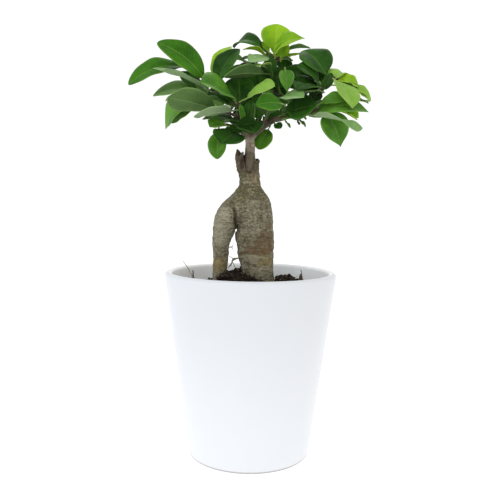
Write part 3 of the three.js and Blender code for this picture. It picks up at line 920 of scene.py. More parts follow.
@dataclass
class LeafForm:
    """The centre lines that a leaf's blade is drawn through.

    Attributes:
        foot: Where the stalk meets the twig.
        midrib: Points from the stalk's end to the tip.
        left: Points of one edge, one for each midrib point.
        right: Points of the other edge.
    """

    foot: Vector
    midrib: list[Vector]
    left: list[Vector]
    right: list[Vector]

    RINGS = 11
    ACROSS = 6
    NEAR = 14
    FOLD = math.radians(12.0)
    STALK = 0.16
    ROUNDNESS = 0.72

    @classmethod
    def from_node(cls, node: str) -> LeafForm:
        """Reads the centre lines from a CAD leaf, which is eleven rings of six vertices.

        Args:
            node: The CAD leaf's name.

        Returns:
            The centre lines.
        """
        mesh = merged_copy(node)
        rings = cls.rings(mesh)
        centres = [sum((v.co for v in ring), Vector()) / len(ring) for ring in rings]
        left, right = [], []
        side = None
        for number, ring in enumerate(rings):
            centre = centres[number]
            wide = max((v.co - centre for v in ring), key=lambda away: away.length).normalized()
            if side is not None and wide.dot(side) < 0:
                wide.negate()
            if not 1 < number < cls.RINGS - 1:
                left.append(centre.copy())
                right.append(centre.copy())
                continue
            side = wide
            order = sorted(ring, key=lambda v: v.co.dot(wide))
            left.append((order[0].co + order[1].co) / 2)
            right.append((order[-1].co + order[-2].co) / 2)
            centres[number] = (order[2].co + order[3].co) / 2
        mesh.free()
        start = centres[0].lerp(centres[1], 0.5)
        return cls(centres[0], [start, *centres[2:]], [start, *left[2:]], [start, *right[2:]])

    @classmethod
    def rings(cls, mesh: bmesh.types.BMesh) -> list[list]:
        """Sorts a CAD leaf's vertices into rings.

        Args:
            mesh: The CAD leaf's shape.

        Returns:
            The rings, from one end of the leaf to the other.
        """
        verts = list(mesh.verts)
        first = max(verts, key=lambda vertex: len(cls.levels([vertex])))
        found: list[list[list]] = []
        for end in (first, cls.levels([first])[-1][0]):
            near = sorted(verts, key=lambda v: (v.co - end.co).length)[1:cls.NEAR + 1]
            for others in itertools.combinations(near, cls.ACROSS - 1):
                levels = cls.levels([end, *others])
                if len(levels) == cls.RINGS and all(len(level) == cls.ACROSS for level in levels):
                    found.append(levels)
                    break
        if not found:
            raise ValueError("a leaf is not made of rings")
        return max(found, key=lambda levels: cls.spread(levels[0]))

    @staticmethod
    def spread(ring: Sequence[bmesh.types.BMVert]) -> float:
        """Returns the largest distance between two vertices of a ring."""
        return max((a.co - b.co).length for a, b in itertools.combinations(ring, 2))

    @staticmethod
    def levels(start: list) -> list[list]:
        """Sorts vertices by how many edges they are from a set.

        Args:
            start: The set.

        Returns:
            The vertices at each distance, from 0 on.
        """
        seen = set(start)
        levels = [start]
        while levels[-1]:
            linked = (edge.other_vert(vertex) for vertex in levels[-1] for edge in vertex.link_edges)
            fresh = [vertex for vertex in dict.fromkeys(linked) if vertex not in seen]
            if not fresh:
                break
            seen.update(fresh)
            levels.append(fresh)
        return levels

    @classmethod
    def from_plan(
            cls, foot: Place, tip: Place, face: Place, width: float, arch: float) -> LeafForm:
        """Draws the centre lines of a leaf that has no CAD node.

        Args:
            foot: Where the stalk meets the twig, in millimetres.
            tip: The leaf's tip, in millimetres.
            face: The way the upper face looks.
            width: The blade's width in millimetres.
            arch: The midrib's rise as a share of the length.

        Returns:
            The centre lines.
        """
        start, end = Vector(foot) * MM, Vector(tip) * MM
        length = (end - start).length
        along = (end - start).normalized()
        up = Vector(face)
        up = (up - along * up.dot(along)).normalized()
        side = up.cross(along)
        form = cls(start, [], [], [])
        for step in range(cls.RINGS - 1):
            place = (1 - math.cos(math.pi * step / (cls.RINGS - 2))) / 2
            share = cls.STALK + (1 - cls.STALK) * place
            middle = start + along * length * share + up * 4 * arch * length * share * (1 - share)
            half = width * MM / 2 * max(math.sin(math.pi * place), 0.0) ** cls.ROUNDNESS
            lift = up * half * math.sin(cls.FOLD)
            out = side * half * math.cos(cls.FOLD)
            form.midrib.append(middle)
            form.left.append(middle - out + lift)
            form.right.append(middle + out + lift)
        return form


@dataclass(frozen=True)
class LeafStyle:
    """How a leaf's blade is finished.

    Attributes:
        age: Which finish it has.
        along: Faces along the blade.
        across: Faces across the blade.
        wave: How far the edges wave, in millimetres.
        point: How narrow the tip is drawn, from 0 to 1.
        full: How full the outline is; 1 is the CAD outline and less is fuller.
        width: The blade's width as a share of the CAD one.
        twist: How far the tip is turned about the midrib, in degrees.
    """

    age: Age
    along: int = 22
    across: int = 10
    wave: float = 0.5
    point: float = 0.2
    full: float = 0.72
    width: float = 1.0
    twist: float = 0.0


class Leaf:
    """A leathery leaf with a stalk, a raised midrib below and a groove above."""

    THICKNESS = 0.45 * MM
    STALK = 0.62 * MM
    SUNK = 1.3 * MM
    GROOVE = 0.35 * MM
    GROOVE_WIDTH = 0.9 * MM
    BULGE = 0.06
    WAVES = (9.0, 17.0)
    BLADE_FROM = 0.04
    STALK_RADII = (1.25, 1.0, 0.9, 0.85)
    MIDRIB_AT = (0.12, 0.25, 0.4, 0.55, 0.7, 0.85)

    def __init__(self, form: LeafForm, style: LeafStyle, seed: int) -> None:
        """Takes the leaf's centre lines and its style.

        Args:
            form: The centre lines.
            style: The age and the fineness.
            seed: Which waves its edges have.
        """
        self.form = form
        self.style = style
        chance = random.Random(seed)
        self.phases = [chance.uniform(0, 2 * math.pi) for _ in range(4)]
        self.widest = max((left - right).length for left, right in zip(form.left, form.right)) / 2
        chord = form.midrib[-1] - form.foot
        middle = form.midrib[len(form.midrib) // 2] - form.foot
        self.up = (middle - chord * (middle.dot(chord) / chord.length_squared)).normalized()

    def point(self, along: float, across: float) -> Vector:
        """Finds a point of the blade's sheet.

        Args:
            along: From 0 at the stalk to 1 at the tip.
            across: From -1 at one edge to 1 at the other.

        Returns:
            The point.
        """
        form = self.form
        place = self.place(along)
        middle = catmull(form.midrib, place)
        edge = catmull(form.left if across < 0 else form.right, place)
        out = edge - middle
        half = out.length
        if self.style.twist:
            turn = math.radians(self.style.twist) * smoothstep(0.25, 0.85, along)
            out.rotate(Matrix.Rotation(turn, 3, form.midrib[-1] - form.midrib[0]))
        reach = abs(across)
        drawn = self.style.width * self.fullness(place, half, self.style.point * smoothstep(0.5, 1.0, along))
        normal = self.normal(place)
        rounded = math.sin(math.pi * reach) * self.BULGE * half
        groove = -self.GROOVE * math.exp(-((across * half / self.GROOVE_WIDTH) ** 2)) * (1 - along)
        one, two, three, four = self.phases
        first, second = (one, two) if across < 0 else (three, four)
        slow, fast = self.WAVES
        wave = math.sin(along * slow + first) + 0.5 * math.sin(along * fast + second)
        waved = self.style.wave * MM * wave * reach ** 3 * math.sin(math.pi * along)
        return middle + out * reach * drawn + normal * (rounded + groove + waved)

    def place(self, along: float) -> float:
        """Returns the position on the midrib of a share of the blade's length."""
        return math.acos(1 - 2 * min(max(along, 0.0), 1.0)) / math.pi * (len(self.form.midrib) - 1)

    def fullness(self, place: float, half: float, point: float) -> float:
        """Compares the fine blade's width with the CAD one's.

        Args:
            place: The position on the midrib.
            half: Half the width of the CAD blade there.
            point: How much the blade is drawn to a point there.

        Returns:
            How much wider it is drawn.
        """
        share = half / self.widest
        taper = smoothstep(0.0, 1.2, place)
        return max(share, 0.02) ** (self.style.full - 1 + 1.6 * point) * taper + (1 - taper)

    def normal(self, place: float) -> Vector:
        """Finds the blade's upward direction.

        Args:
            place: The position on the midrib.

        Returns:
            The direction, one unit long.
        """
        form = self.form
        last = len(form.midrib) - 1
        ahead = catmull(form.midrib, min(place + 0.2, last)) - catmull(form.midrib, max(place - 0.2, 0.0))
        middle = last // 2
        side = (form.right[middle] - form.left[middle]).normalized()
        normal = ahead.cross(side).normalized()
        return normal if normal.dot(self.up) > 0 else -normal

    def add_to(self, mesh: bmesh.types.BMesh, uv: bmesh.types.BMLayerItem, slots: tuple[int, int]) -> None:
        """Adds the leaf to a mesh.

        Args:
            mesh: The mesh.
            uv: Its UV layer: along the blade, and across it.
            slots: The material numbers of the upper face and the underside.
        """
        style = self.style
        made = bmesh.ops.create_grid(mesh, x_segments=style.along, y_segments=style.across, size=0.5)["verts"]
        uses = {}
        for vertex in made:
            share = self.BLADE_FROM + (1 - self.BLADE_FROM) * (vertex.co.x + 0.5)
            along = (1 - math.cos(math.pi * share)) / 2
            along = (along - 0.004) / 0.996
            uses[vertex] = (min(max(along, 0.0), 1.0), vertex.co.y + 0.5)
        faces = list(dict.fromkeys(face for vertex in made for face in vertex.link_faces))
        for face in faces:
            face.material_index = slots[0]
            for loop in face.loops:
                loop[uv].uv = uses[loop.vert]
        for vertex, (along, y) in uses.items():
            vertex.co = self.point(along, 2 * y - 1)
        mesh.normal_update()
        if sum(face.normal.dot(self.up) for face in faces) < 0:
            bmesh.ops.reverse_faces(mesh, faces=faces)
        shell = bmesh.ops.solidify(mesh, geom=faces, thickness=self.THICKNESS)["geom"]
        for face in only(shell, bmesh.types.BMFace):
            face.material_index = slots[1]
        self.add_stalk(mesh, uv, slots[1])

    def add_stalk(self, mesh: bmesh.types.BMesh, uv: bmesh.types.BMLayerItem, slot: int) -> None:
        """Adds the stalk, which goes on under the blade as its midrib.

        Args:
            mesh: The mesh.
            uv: Its UV layer.
            slot: The underside's material number.
        """
        form = self.form
        start, end = form.foot, form.midrib[0]
        root = start - (end - start).normalized() * self.SUNK
        points = [root, start, start.lerp(end, 0.5), end]
        radii = list(self.STALK_RADII)
        for share in self.MIDRIB_AT:
            place = self.place(share)
            points.append(catmull(form.midrib, place) - self.normal(place) * (self.THICKNESS + 0.1 * MM))
            radii.append(0.8 * (1 - share) + 0.12)
        verts = sweep(mesh, points, [radius * self.STALK for radius in radii], 6)
        for face in {face for vertex in verts for face in vertex.link_faces}:
            face.material_index = slot
            for loop in face.loops:
                loop[uv].uv = (0.02, 0.5)


@dataclass
class Canopy:
    """All the leaves of the plant and the thin twigs of the small ones.

    AGES names the CAD leaves of each age; those that it doesn't name are GROWN. SHAPES holds what
    differs from the usual LeafStyle. A row of MORE is a leaf without a CAD node: its foot and its
    tip in millimetres, the way it faces, its width in millimetres, its age and its arch.
    """

    dresser: Dresser

    FIRST_SEED = 100
    SMALL = {"along": 16, "across": 8, "point": 0.1}
    TWIG_RADII = (1.0, 0.85, 0.75, 0.7, 0.55)
    SHORTEST_TWIG = 0.6 * MM
    TWIG_SUNK = 0.8 * MM
    # PALE and DULL also give some leaves a paler colour for their broad highlights: painted sheen.
    AGES = {
        Age.TENDER: "top_c top_d top_b left_o right_e right_g right_n",
        Age.YOUNG: "right_f top_f mid_d right_d",
        Age.DULL: "left_e mid_a top_h left_d",
        # left_a and left_b get DEEP, a painted shade.
        Age.DEEP: "left_a left_b",
        Age.PALE: "left_c left_g right_m right_a top_e",
        # mid_c lies in the crown's shade, so its dark finish is partly painted shade.
        Age.OLD: "left_h left_k left_l left_n top_a mid_b mid_c mid_e right_b right_c right_h right_i "
                 "low_b back_c back_e back_f back_h back_i back_k",
    }
    SHAPES = {
        "left_a": {"point": 0.06, "width": 0.95},
        "left_b": {"point": 0.05},
        "left_c": {"width": 0.85},
        "left_d": {"point": 0.12},
        "left_e": {"width": 0.92},
        "left_f": {"point": 0.45},
        "left_g": {"point": 0.0},
        "left_j": {"point": 0.1},
        "low_a": {"point": 0.0},
        "low_b": {"point": 0.0},
        "mid_d": {"point": 0.0},
        "right_b": {"width": 1.06},
        "right_f": {"point": 0.4},
        "right_g": {"point": 0.5},
        "right_j": {"point": 0.4},
        "right_k": {"point": 0.5},
        "right_l": {"point": 0.55},
        "right_m": {"point": -0.12, "full": 0.4, "width": 0.8, "twist": 50.0},
        "top_a": {"width": 1.2},
        "top_c": {"full": 0.62},
        "top_d": {"point": 0.45, "full": 0.7, "width": 0.85},
        "top_g": {"point": 0.45},
    }
    MORE = (
        ((-34.6, -6, 271.6), (-54.6, -6, 287.3), (0.1, -0.75, 0.6), 13, Age.OLD, 0.04),
        ((-15.1, -14, 261.3), (-37.4, -26, 265.9), (0, -0.5, 0.85), 8, Age.GROWN, 0.08),
        # The next leaf is dark because it stands for the shaded lower half of left_m: painted shade.
        ((-12.3, -10, 261.9), (-33.8, -18, 269), (0.1, -0.6, 0.8), 13, Age.OLD, 0.06),
        ((-51, -5, 272.3), (-64.8, -5, 266.3), (0, -0.6, 0.8), 5, Age.TENDER, 0.1),
        ((11.1, 6, 297.9), (-10.9, 12, 300.4), (0, -0.4, 0.9), 12, Age.OLD, 0.12),
        ((6.6, 8, 293.8), (-13.2, 12, 294.4), (0, -0.6, 0.8), 11, Age.OLD, 0.1),
        ((21.8, 2, 273.7), (7.3, 5, 294), (-0.1, -0.9, 0.3), 20, Age.OLD, 0.05),
        ((20, -4, 274.1), (16.2, -2, 289), (0.3, -0.9, 0.2), 12, Age.OLD, 0.05),
        ((49.4, -6, 278.5), (22.9, 0, 291.7), (0.1, -0.7, 0.6), 18, Age.OLD, 0.08),
        ((50.2, -12, 276), (26.3, -22, 274), (0, -0.7, 0.7), 17, Age.OLD, 0.16),
        ((51, -12, 273.2), (34, -24, 271.6), (0, -0.6, 0.8), 10, Age.DULL, 0.1),
        ((38.1, -14, 254.1), (23.8, -20, 260.2), (0.05, -0.85, 0.5), 17, Age.OLD, 0.08),
        ((41.7, -12, 264.5), (49.2, -8, 273.8), (-0.2, -0.8, 0.3), 11, Age.OLD, 0.08),
        ((9.8, -6, 259.1), (11, -8, 275.5), (0.2, -0.9, 0.1), 10, Age.GROWN, 0.06),
        ((-4.1, -12, 250.2), (-1.3, -16, 266.2), (-0.5, -0.8, 0), 8, Age.OLD, 0.1),
        ((-7, -14, 249.2), (-9.2, -20, 262.6), (0.4, -0.9, 0), 5, Age.GROWN, 0.1),
        ((-0.4, -10, 249.7), (0.9, -12, 264.6), (-0.4, -0.8, 0), 5, Age.DULL, 0.1),
        ((4.1, -2, 250.7), (3.8, 2, 273.4), (0.1, -0.95, 0.1), 13, Age.OLD, 0.05),
        ((-2, 2, 255.6), (-4.4, 4, 272.2), (0, -0.95, 0.1), 14, Age.OLD, 0.05),
        ((20.7, 3, 298.9), (36.7, 3, 303.8), (0, -0.4, 0.9), 6, Age.TENDER, 0.08),
        ((20.5, 0, 299.7), (29.2, -5, 296.9), (0, 0.3, 0.9), 7, Age.DULL, 0.05),
        ((21.8, 6, 288.4), (25.4, 8, 301.5), (0, -0.9, 0.2), 12, Age.OLD, 0.06),
        ((22.9, -12, 253.4), (27.4, -18, 246.3), (0.5, -0.7, 0.3), 2.4, Age.DULL, 0.05),
        ((32.3, -14, 254), (38.6, -18, 247.2), (0.5, -0.7, 0.3), 2.8, Age.DULL, 0.08),
        ((32.3, -14, 253.3), (34, -16, 248.8), (0.5, -0.7, 0.3), 2.2, Age.OLD, 0.05),
        ((22.2, -13, 253.3), (37.2, -16, 254.5), (0.2, -0.6, 0.7), 5, Age.GROWN, 0.06),
        ((-39.8, -6, 264.3), (-60.8, -3, 250.5), (-0.3, -0.8, 0.5), 13, Age.GROWN, 0.1),
        ((45.4, -19, 262), (70.3, -20, 267.2), (0.05, -0.8, 0.6), 11, Age.GROWN, 0.16),
        ((68.2, -8, 280.6), (86.9, -8, 267.8), (0.2, -0.75, 0.6), 9, Age.YOUNG, 0.12),
        ((69.4, 2, 263.9), (79.7, 2, 256.6), (0.3, -0.8, 0.4), 7.5, Age.TENDER, 0.1),
        ((17.7, 3, 298.8), (20.6, 8, 316.9), (0, -0.95, 0.2), 15, Age.TENDER, 0.04),
        ((60.6, -9, 283.2), (76.8, -9, 279.8), (0.1, -0.75, 0.6), 9, Age.TENDER, 0.2),
        ((21.8, -38, 260), (2.1, -53, 257.2), (0.1, -0.9, 0.4), 14.5, Age.DEEP, 0.1),
        ((51.3, -2, 279.2), (49.2, 3, 299.2), (0, -0.9, 0.3), 13, Age.OLD, 0.05),
        ((50.5, -10, 272.8), (57.4, -11, 287), (0.1, -0.9, 0.3), 8, Age.OLD, 0.1),
        ((20.1, -3, 297.5), (21.4, -8, 309.3), (0, -0.95, 0.2), 12, Age.TENDER, 0.04),
        ((14.7, -4, 284.2), (12.1, -8, 299.2), (0, -0.95, 0.2), 8, Age.OLD, 0.05),
        ((-12, 8, 264.5), (-23.5, 8, 272.6), (0, -0.9, 0.4), 9, Age.OLD, 0.05),
        ((-4.9, 6, 251.6), (-17.9, 6, 253.7), (0, -0.8, 0.6), 8, Age.OLD, 0.05),
        ((-4.7, -10, 243.2), (-20.1, -12, 246), (0, -0.8, 0.6), 7, Age.OLD, 0.1),
        ((9.5, 5, 252.4), (22.2, 5, 261.5), (0, -0.9, 0.3), 8, Age.OLD, 0.06),
        ((13, 6, 272), (26.5, 6, 278.1), (0, -0.9, 0.3), 9, Age.OLD, 0.06),
        ((1, 9, 265.6), (0.8, 9, 278.3), (0, -0.95, 0.2), 9, Age.OLD, 0.04),
        ((6.9, -13, 250.9), (-11.8, -22, 245.4), (0.05, -0.85, 0.5), 11.5, Age.OLD, 0.08),
        ((-17.9, -12, 247.8), (-32.7, -16, 250.8), (0, -0.8, 0.6), 10, Age.GROWN, 0.08),
        ((13, 4, 302.5), (5.2, 8, 313.1), (-0.3, -0.8, 0.4), 6, Age.TENDER, 0.08),
        ((-20, 20, 260), (-44, 12, 276), (-0.3, 0.2, 0.9), 19, Age.GROWN, 0.1),
        ((-26, 26, 266), (-30, 52, 286), (-0.2, 0.6, 0.8), 21, Age.GROWN, 0.1),
        ((-14, 14, 254), (-28, 36, 256), (-0.3, 0.7, 0.5), 18, Age.OLD, 0.1),
        ((27, 28, 266), (36, 54, 284), (0.2, 0.6, 0.8), 21, Age.GROWN, 0.12),
        ((34, 32, 270), (58, 24, 266), (0.5, 0.3, 0.8), 19, Age.OLD, 0.1),
        ((14, 16, 256), (34, 34, 262), (0.4, 0.7, 0.5), 18, Age.OLD, 0.08),
        ((2, 34, 272), (-16, 60, 274), (-0.3, 0.7, 0.6), 20, Age.OLD, 0.12),
        ((5, 46, 281), (30, 62, 290), (0.3, 0.6, 0.7), 20, Age.YOUNG, 0.12),
        ((5, 46, 281), (-8, 66, 304), (0, 0.8, 0.5), 19, Age.TENDER, 0.1),
        ((3, 19, 290), (-22, 26, 292), (-0.4, 0.3, 0.8), 18, Age.GROWN, 0.12),
        ((5, 15, 282), (30, 28, 284), (0.3, 0.4, 0.8), 19, Age.OLD, 0.12),
        ((0, 22, 298), (14, 46, 308), (0.1, 0.6, 0.8), 18, Age.GROWN, 0.1),
        ((40, 36, 273), (50, 62, 278), (0.3, 0.6, 0.7), 18, Age.GROWN, 0.12),
        ((-37, 36, 275), (-52, 58, 270), (-0.4, 0.6, 0.7), 19, Age.OLD, 0.12),
        ((0, 20, 260), (-16, 40, 264), (-0.2, 0.9, 0.3), 18, Age.OLD, 0.08),
        ((0, 20, 260), (16, 44, 268), (0.3, 0.8, 0.4), 18, Age.GROWN, 0.08),
    )

    def style(self, name: str) -> LeafStyle:
        """Returns how a CAD leaf is finished."""
        age = next((age for age, names in self.AGES.items() if name in names.split()), Age.GROWN)
        return LeafStyle(age, **self.SHAPES.get(name, {}))

    def build(self) -> list[bpy.types.Object]:
        """Builds a fine leaf for each CAD leaf, and the small leaves.

        Returns:
            The pieces.
        """
        made = []
        nodes = sorted(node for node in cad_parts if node.startswith("leaf_"))
        for seed, node in enumerate(nodes):
            style = self.style(node[len("leaf_"):])
            leaf = Leaf(LeafForm.from_node(node), style, seed)
            made.append(self.piece("fine_" + node, style.age, [leaf], [node]))
        return [*made, *self.clusters(), self.side_twigs()]

    def piece(
            self, name: str, age: Age, leaves: Sequence[Leaf],
            replaced: Sequence[str] = ()) -> bpy.types.Object:
        """Builds leaves of one age as one piece.

        Args:
            name: The piece's name.
            age: The leaves' age.
            leaves: The leaves.
            replaced: The CAD nodes that it stands for.

        Returns:
            The new object.
        """
        mesh = bmesh.new()
        uv = mesh.loops.layers.uv.new("sheet")
        for leaf in leaves:
            leaf.add_to(mesh, uv, (0, 1))
        return new_piece(name, mesh, self.dresser.leaf(age), replaced)

    def clusters(self) -> list[bpy.types.Object]:
        """Builds the small and inner leaves, one piece for each age that they have.

        Returns:
            The pieces.
        """
        small: dict[Age, list[Leaf]] = {age: [] for age in Age}
        for seed, (foot, tip, face, width, age, arch) in enumerate(self.MORE, self.FIRST_SEED):
            form = LeafForm.from_plan(foot, tip, face, width, arch)
            small[age].append(Leaf(form, LeafStyle(age, **self.SMALL), seed))
        return [self.piece("more_" + age.value.name, age, leaves) for age, leaves in small.items() if leaves]

    def side_twigs(self) -> bpy.types.Object:
        """Builds the thin twigs that carry the small leaves from the stem.

        Returns:
            The piece.
        """
        stem = merged_copy("stem")
        tree = BVHTree.FromBMesh(stem)
        mesh = bmesh.new()
        for foot, tip, *_ in self.MORE:
            end = Vector(foot) * MM
            start, normal, _, gap = tree.find_nearest(end)
            if gap < self.SHORTEST_TWIG:
                continue
            root = start - normal * self.TWIG_SUNK
            ahead = (Vector(tip) * MM - end).normalized()
            middle = root.lerp(end, 0.55) + normal * 0.18 * gap - ahead * 0.12 * gap
            low = root.lerp(middle, 0.5) + normal * 0.06 * gap
            points = [root, low, middle, end, end + ahead * self.TWIG_SUNK]
            sweep(mesh, points, [radius * MM for radius in self.TWIG_RADII], 7)
        stem.free()
        return new_piece("side_twigs", mesh, self.dresser.plain(Fibre.TWIG.value))


# Wood


@dataclass
class Trunk:
    """The swollen roots and the split neck, as one bark skin.

    A pair of constants holds the places, in metres, between which a shape fades in or out.

    Attributes:
        dresser: Hands out the finishes.
        voxel: The skin's grid in metres.
        passes: How many times the skin is smoothed.
        cut: The height below which the soil hides the roots, in metres.
        callus: The centre of the healed lump under the graft, in metres.
        callus_size: The lump's half sizes in metres.
    """

    dresser: Dresser
    voxel: float = 0.7 * MM
    passes: int = 14
    cut: float = 0.112
    callus: Place = (-0.0003, -0.0004, 0.2115)
    callus_size: Place = (0.0062, 0.0086, 0.0062)

    GAP_AT = -0.0113
    GAP_WIDTH = 4.5 * MM
    GAP_FROM = (0.157, 0.168)
    GAP_TO = (0.1735, 0.177)
    NECK_FROM = (0.206, 0.214)
    LEAN_FROM = (0.207, 0.222)
    TORN_FROM = (0.2125, 0.2295)
    RIGHT_FROM = (-0.002, 0.004)
    CREASE_AT = -0.0112
    CREASE_WIDTH = 1.05 * MM
    CREASE_FROM = (0.168, 0.174)
    CREASE_TO = (0.183, 0.194)

    def build(self) -> bpy.types.Object:
        """Builds the trunk from its CAD node.

        Returns:
            The piece.
        """
        mesh = merged_copy("trunk")
        everything = mesh.verts[:] + mesh.edges[:] + mesh.faces[:]
        cut = bmesh.ops.bisect_plane(
            mesh, geom=everything, plane_co=(0, 0, self.cut), plane_no=(0, 0, -1), clear_outer=True)
        bmesh.ops.holes_fill(mesh, edges=only(cut["geom_cut"], bmesh.types.BMEdge), sides=0)
        lump = Matrix.Translation(self.callus) @ Matrix.Diagonal((*self.callus_size, 1))
        bmesh.ops.create_icosphere(mesh, subdivisions=3, radius=1.0, matrix=lump)
        skin = remeshed(mesh, self.voxel, self.passes)
        displace(skin, self.move)
        return new_piece("bark_trunk", skin, self.dresser.plain(Bark()), ["trunk"])

    def move(self, vertex: bmesh.types.BMVert) -> Vector:
        """Shapes the wrinkles, the knobs, the crease and the torn lips.

        Args:
            vertex: A vertex of the skin.

        Returns:
            Its move in metres.
        """
        place = vertex.co
        knob = noise.noise(place * 260 + Vector((7, 3, 1)))
        push = 0.36 * ripple(place, 70, 420) + 0.9 * noise.noise(place * 95) + 0.35 * knob - self.crease(place)
        gap = math.exp(-(((place.x - self.GAP_AT) / self.GAP_WIDTH) ** 2))
        push += 1.5 * gap * smoothstep(*self.GAP_FROM, place.z) * (1 - smoothstep(*self.GAP_TO, place.z))
        neck = smoothstep(*self.NECK_FROM, place.z)
        push += neck * (0.6 - 3.6 * abs(ripple(place, 300, 45)) + 0.9 * ripple(place, 700, 260))
        right = smoothstep(*self.RIGHT_FROM, place.x)
        tear = noise.noise(Vector((place.x * 330, place.y * 330, 3.0)))
        rise = smoothstep(*self.TORN_FROM, place.z) * (4.6 * tear - 3.2 - 2.0 * right)
        inwards = (-1.7 * right - 1.1 * (1 - right)) * smoothstep(*self.LEAN_FROM, place.z)
        return (vertex.normal * push + Vector((inwards, 0, rise))) * MM

    def crease(self, place: Vector) -> float:
        """Measures the crease over the gap between the roots.

        Args:
            place: A place on the skin, in metres.

        Returns:
            The crease's depth there, in millimetres.
        """
        share = min(max((place.z - 0.1745) / 0.0135, 0.0), 1.0)
        off = place.x - self.CREASE_AT + 0.0014 * share
        along = smoothstep(*self.CREASE_FROM, place.z) * (1 - smoothstep(*self.CREASE_TO, place.z))
        return 3.4 * along * math.exp(-((off / self.CREASE_WIDTH) ** 2))


@dataclass
class Stem:
    """The grafted stem with its branches and twigs.

    A pair of constants holds the heights, in metres, between which a shape fades out.

    Attributes:
        dresser: Hands out the finishes.
        voxel: The skin's grid in metres.
        passes: How many times the skin is smoothed.
        graft_x: The axis from which the foot is widened, in metres.
        left_x: The axis towards which the collar is narrowed, in metres.
    """

    dresser: Dresser
    voxel: float = 0.42 * MM
    passes: int = 6
    graft_x: float = -0.3 * MM
    left_x: float = -4.4 * MM

    FOOT_TO = (0.2075, 0.229)
    SWELL_TO = (0.224, 0.232)
    COLLAR_TO = (0.238, 0.247)

    def build(self) -> bpy.types.Object:
        """Builds the stem from its CAD node.

        Returns:
            The piece.
        """
        skin = remeshed(merged_copy("stem"), self.voxel, self.passes)
        displace(skin, self.move)
        return new_piece("bark_stem", skin, self.dresser.plain(StemBark()), ["stem"])

    def move(self, vertex: bmesh.types.BMVert) -> Vector:
        """Shapes the knots, the leaf scars and the wide foot.

        Args:
            vertex: A vertex of the skin.

        Returns:
            Its move in metres.
        """
        place = vertex.co
        knot = 0.38 * noise.noise(place * 190) + 0.14 * ripple(place, 620, 240)
        scar = 0.35 * max(0.0, ripple(place, 60, 330)) ** 0.5
        swell = 0.5 * (1 - smoothstep(*self.SWELL_TO, place.z))
        above = smoothstep(*self.FOOT_TO, place.z)
        wider = 2.0 * (1 - above) * (place.x - self.graft_x)
        wider -= 0.15 * above * (1 - smoothstep(*self.COLLAR_TO, place.z)) * (place.x - self.left_x)
        return vertex.normal * (knot + scar + swell) * MM + Vector((wider, 0, 0))


# Pot and soil


@dataclass
class Pot:
    """The tapered pot, turned about its axis."""

    dresser: Dresser
    rim: float = 65.0
    foot: float = 46.3
    tall: float = 140.0
    wall: float = 5.5
    floor: float = 7.0
    foot_round: float = 1.2
    floor_round: float = 4.0
    turns: int = 144

    def slope(self) -> float:
        """Returns how far the wall leans out for each millimetre of height."""
        return (self.rim - self.foot) / (self.tall - self.wall / 2)

    def profile(self) -> list[Vector]:
        """Draws the outline from the underside's centre to the inner floor's centre.

        Returns:
            Its points, in metres.
        """
        lip = self.wall / 2
        top = self.tall - lip
        path = [(0.0, 0.0), (self.foot * 0.5, 0.0), (self.foot - self.foot_round, 0.0)]
        for step in range(1, 5):
            angle = math.pi / 2 * step / 5
            bend = self.foot_round * (1 - math.sin(angle))
            path.append((self.foot - bend, self.foot_round * (1 - math.cos(angle))))
        for step in range(1, 15):
            path.append((self.foot + self.slope() * top * step / 15, top * step / 15))
        for step in range(13):
            angle = math.pi * step / 12
            path.append((self.rim - lip + lip * math.cos(angle), top + lip * math.sin(angle)))
        inner = self.foot - self.wall
        low = self.floor + self.floor_round
        for step in range(1, 13):
            height = top + (low - top) * step / 12
            path.append((inner + self.slope() * height, height))
        for step in range(1, 5):
            angle = math.pi / 2 * step / 4
            reach = inner + self.slope() * low - self.floor_round * (1 - math.cos(angle))
            path.append((reach, low - self.floor_round * math.sin(angle)))
        path.append((0.0, self.floor))
        return [Vector((x, 0, z)) * MM for x, z in path]

    def build(self) -> bpy.types.Object:
        """Builds the pot.

        Returns:
            The piece.
        """
        mesh = bmesh.new()
        points = self.profile()
        verts = [mesh.verts.new(point) for point in points]
        edges = [mesh.edges.new(pair) for pair in zip(verts, verts[1:])]
        bmesh.ops.spin(
            mesh, geom=verts + edges, cent=(0, 0, 0), axis=(0, 0, 1), angle=2 * math.pi,
            steps=self.turns, use_merge=True)
        bmesh.ops.remove_doubles(mesh, verts=mesh.verts, dist=MERGE)
        bmesh.ops.recalc_face_normals(mesh, faces=mesh.faces)
        return new_piece("glazed_pot", mesh, self.dresser.plain(Glaze()), ["pot"])


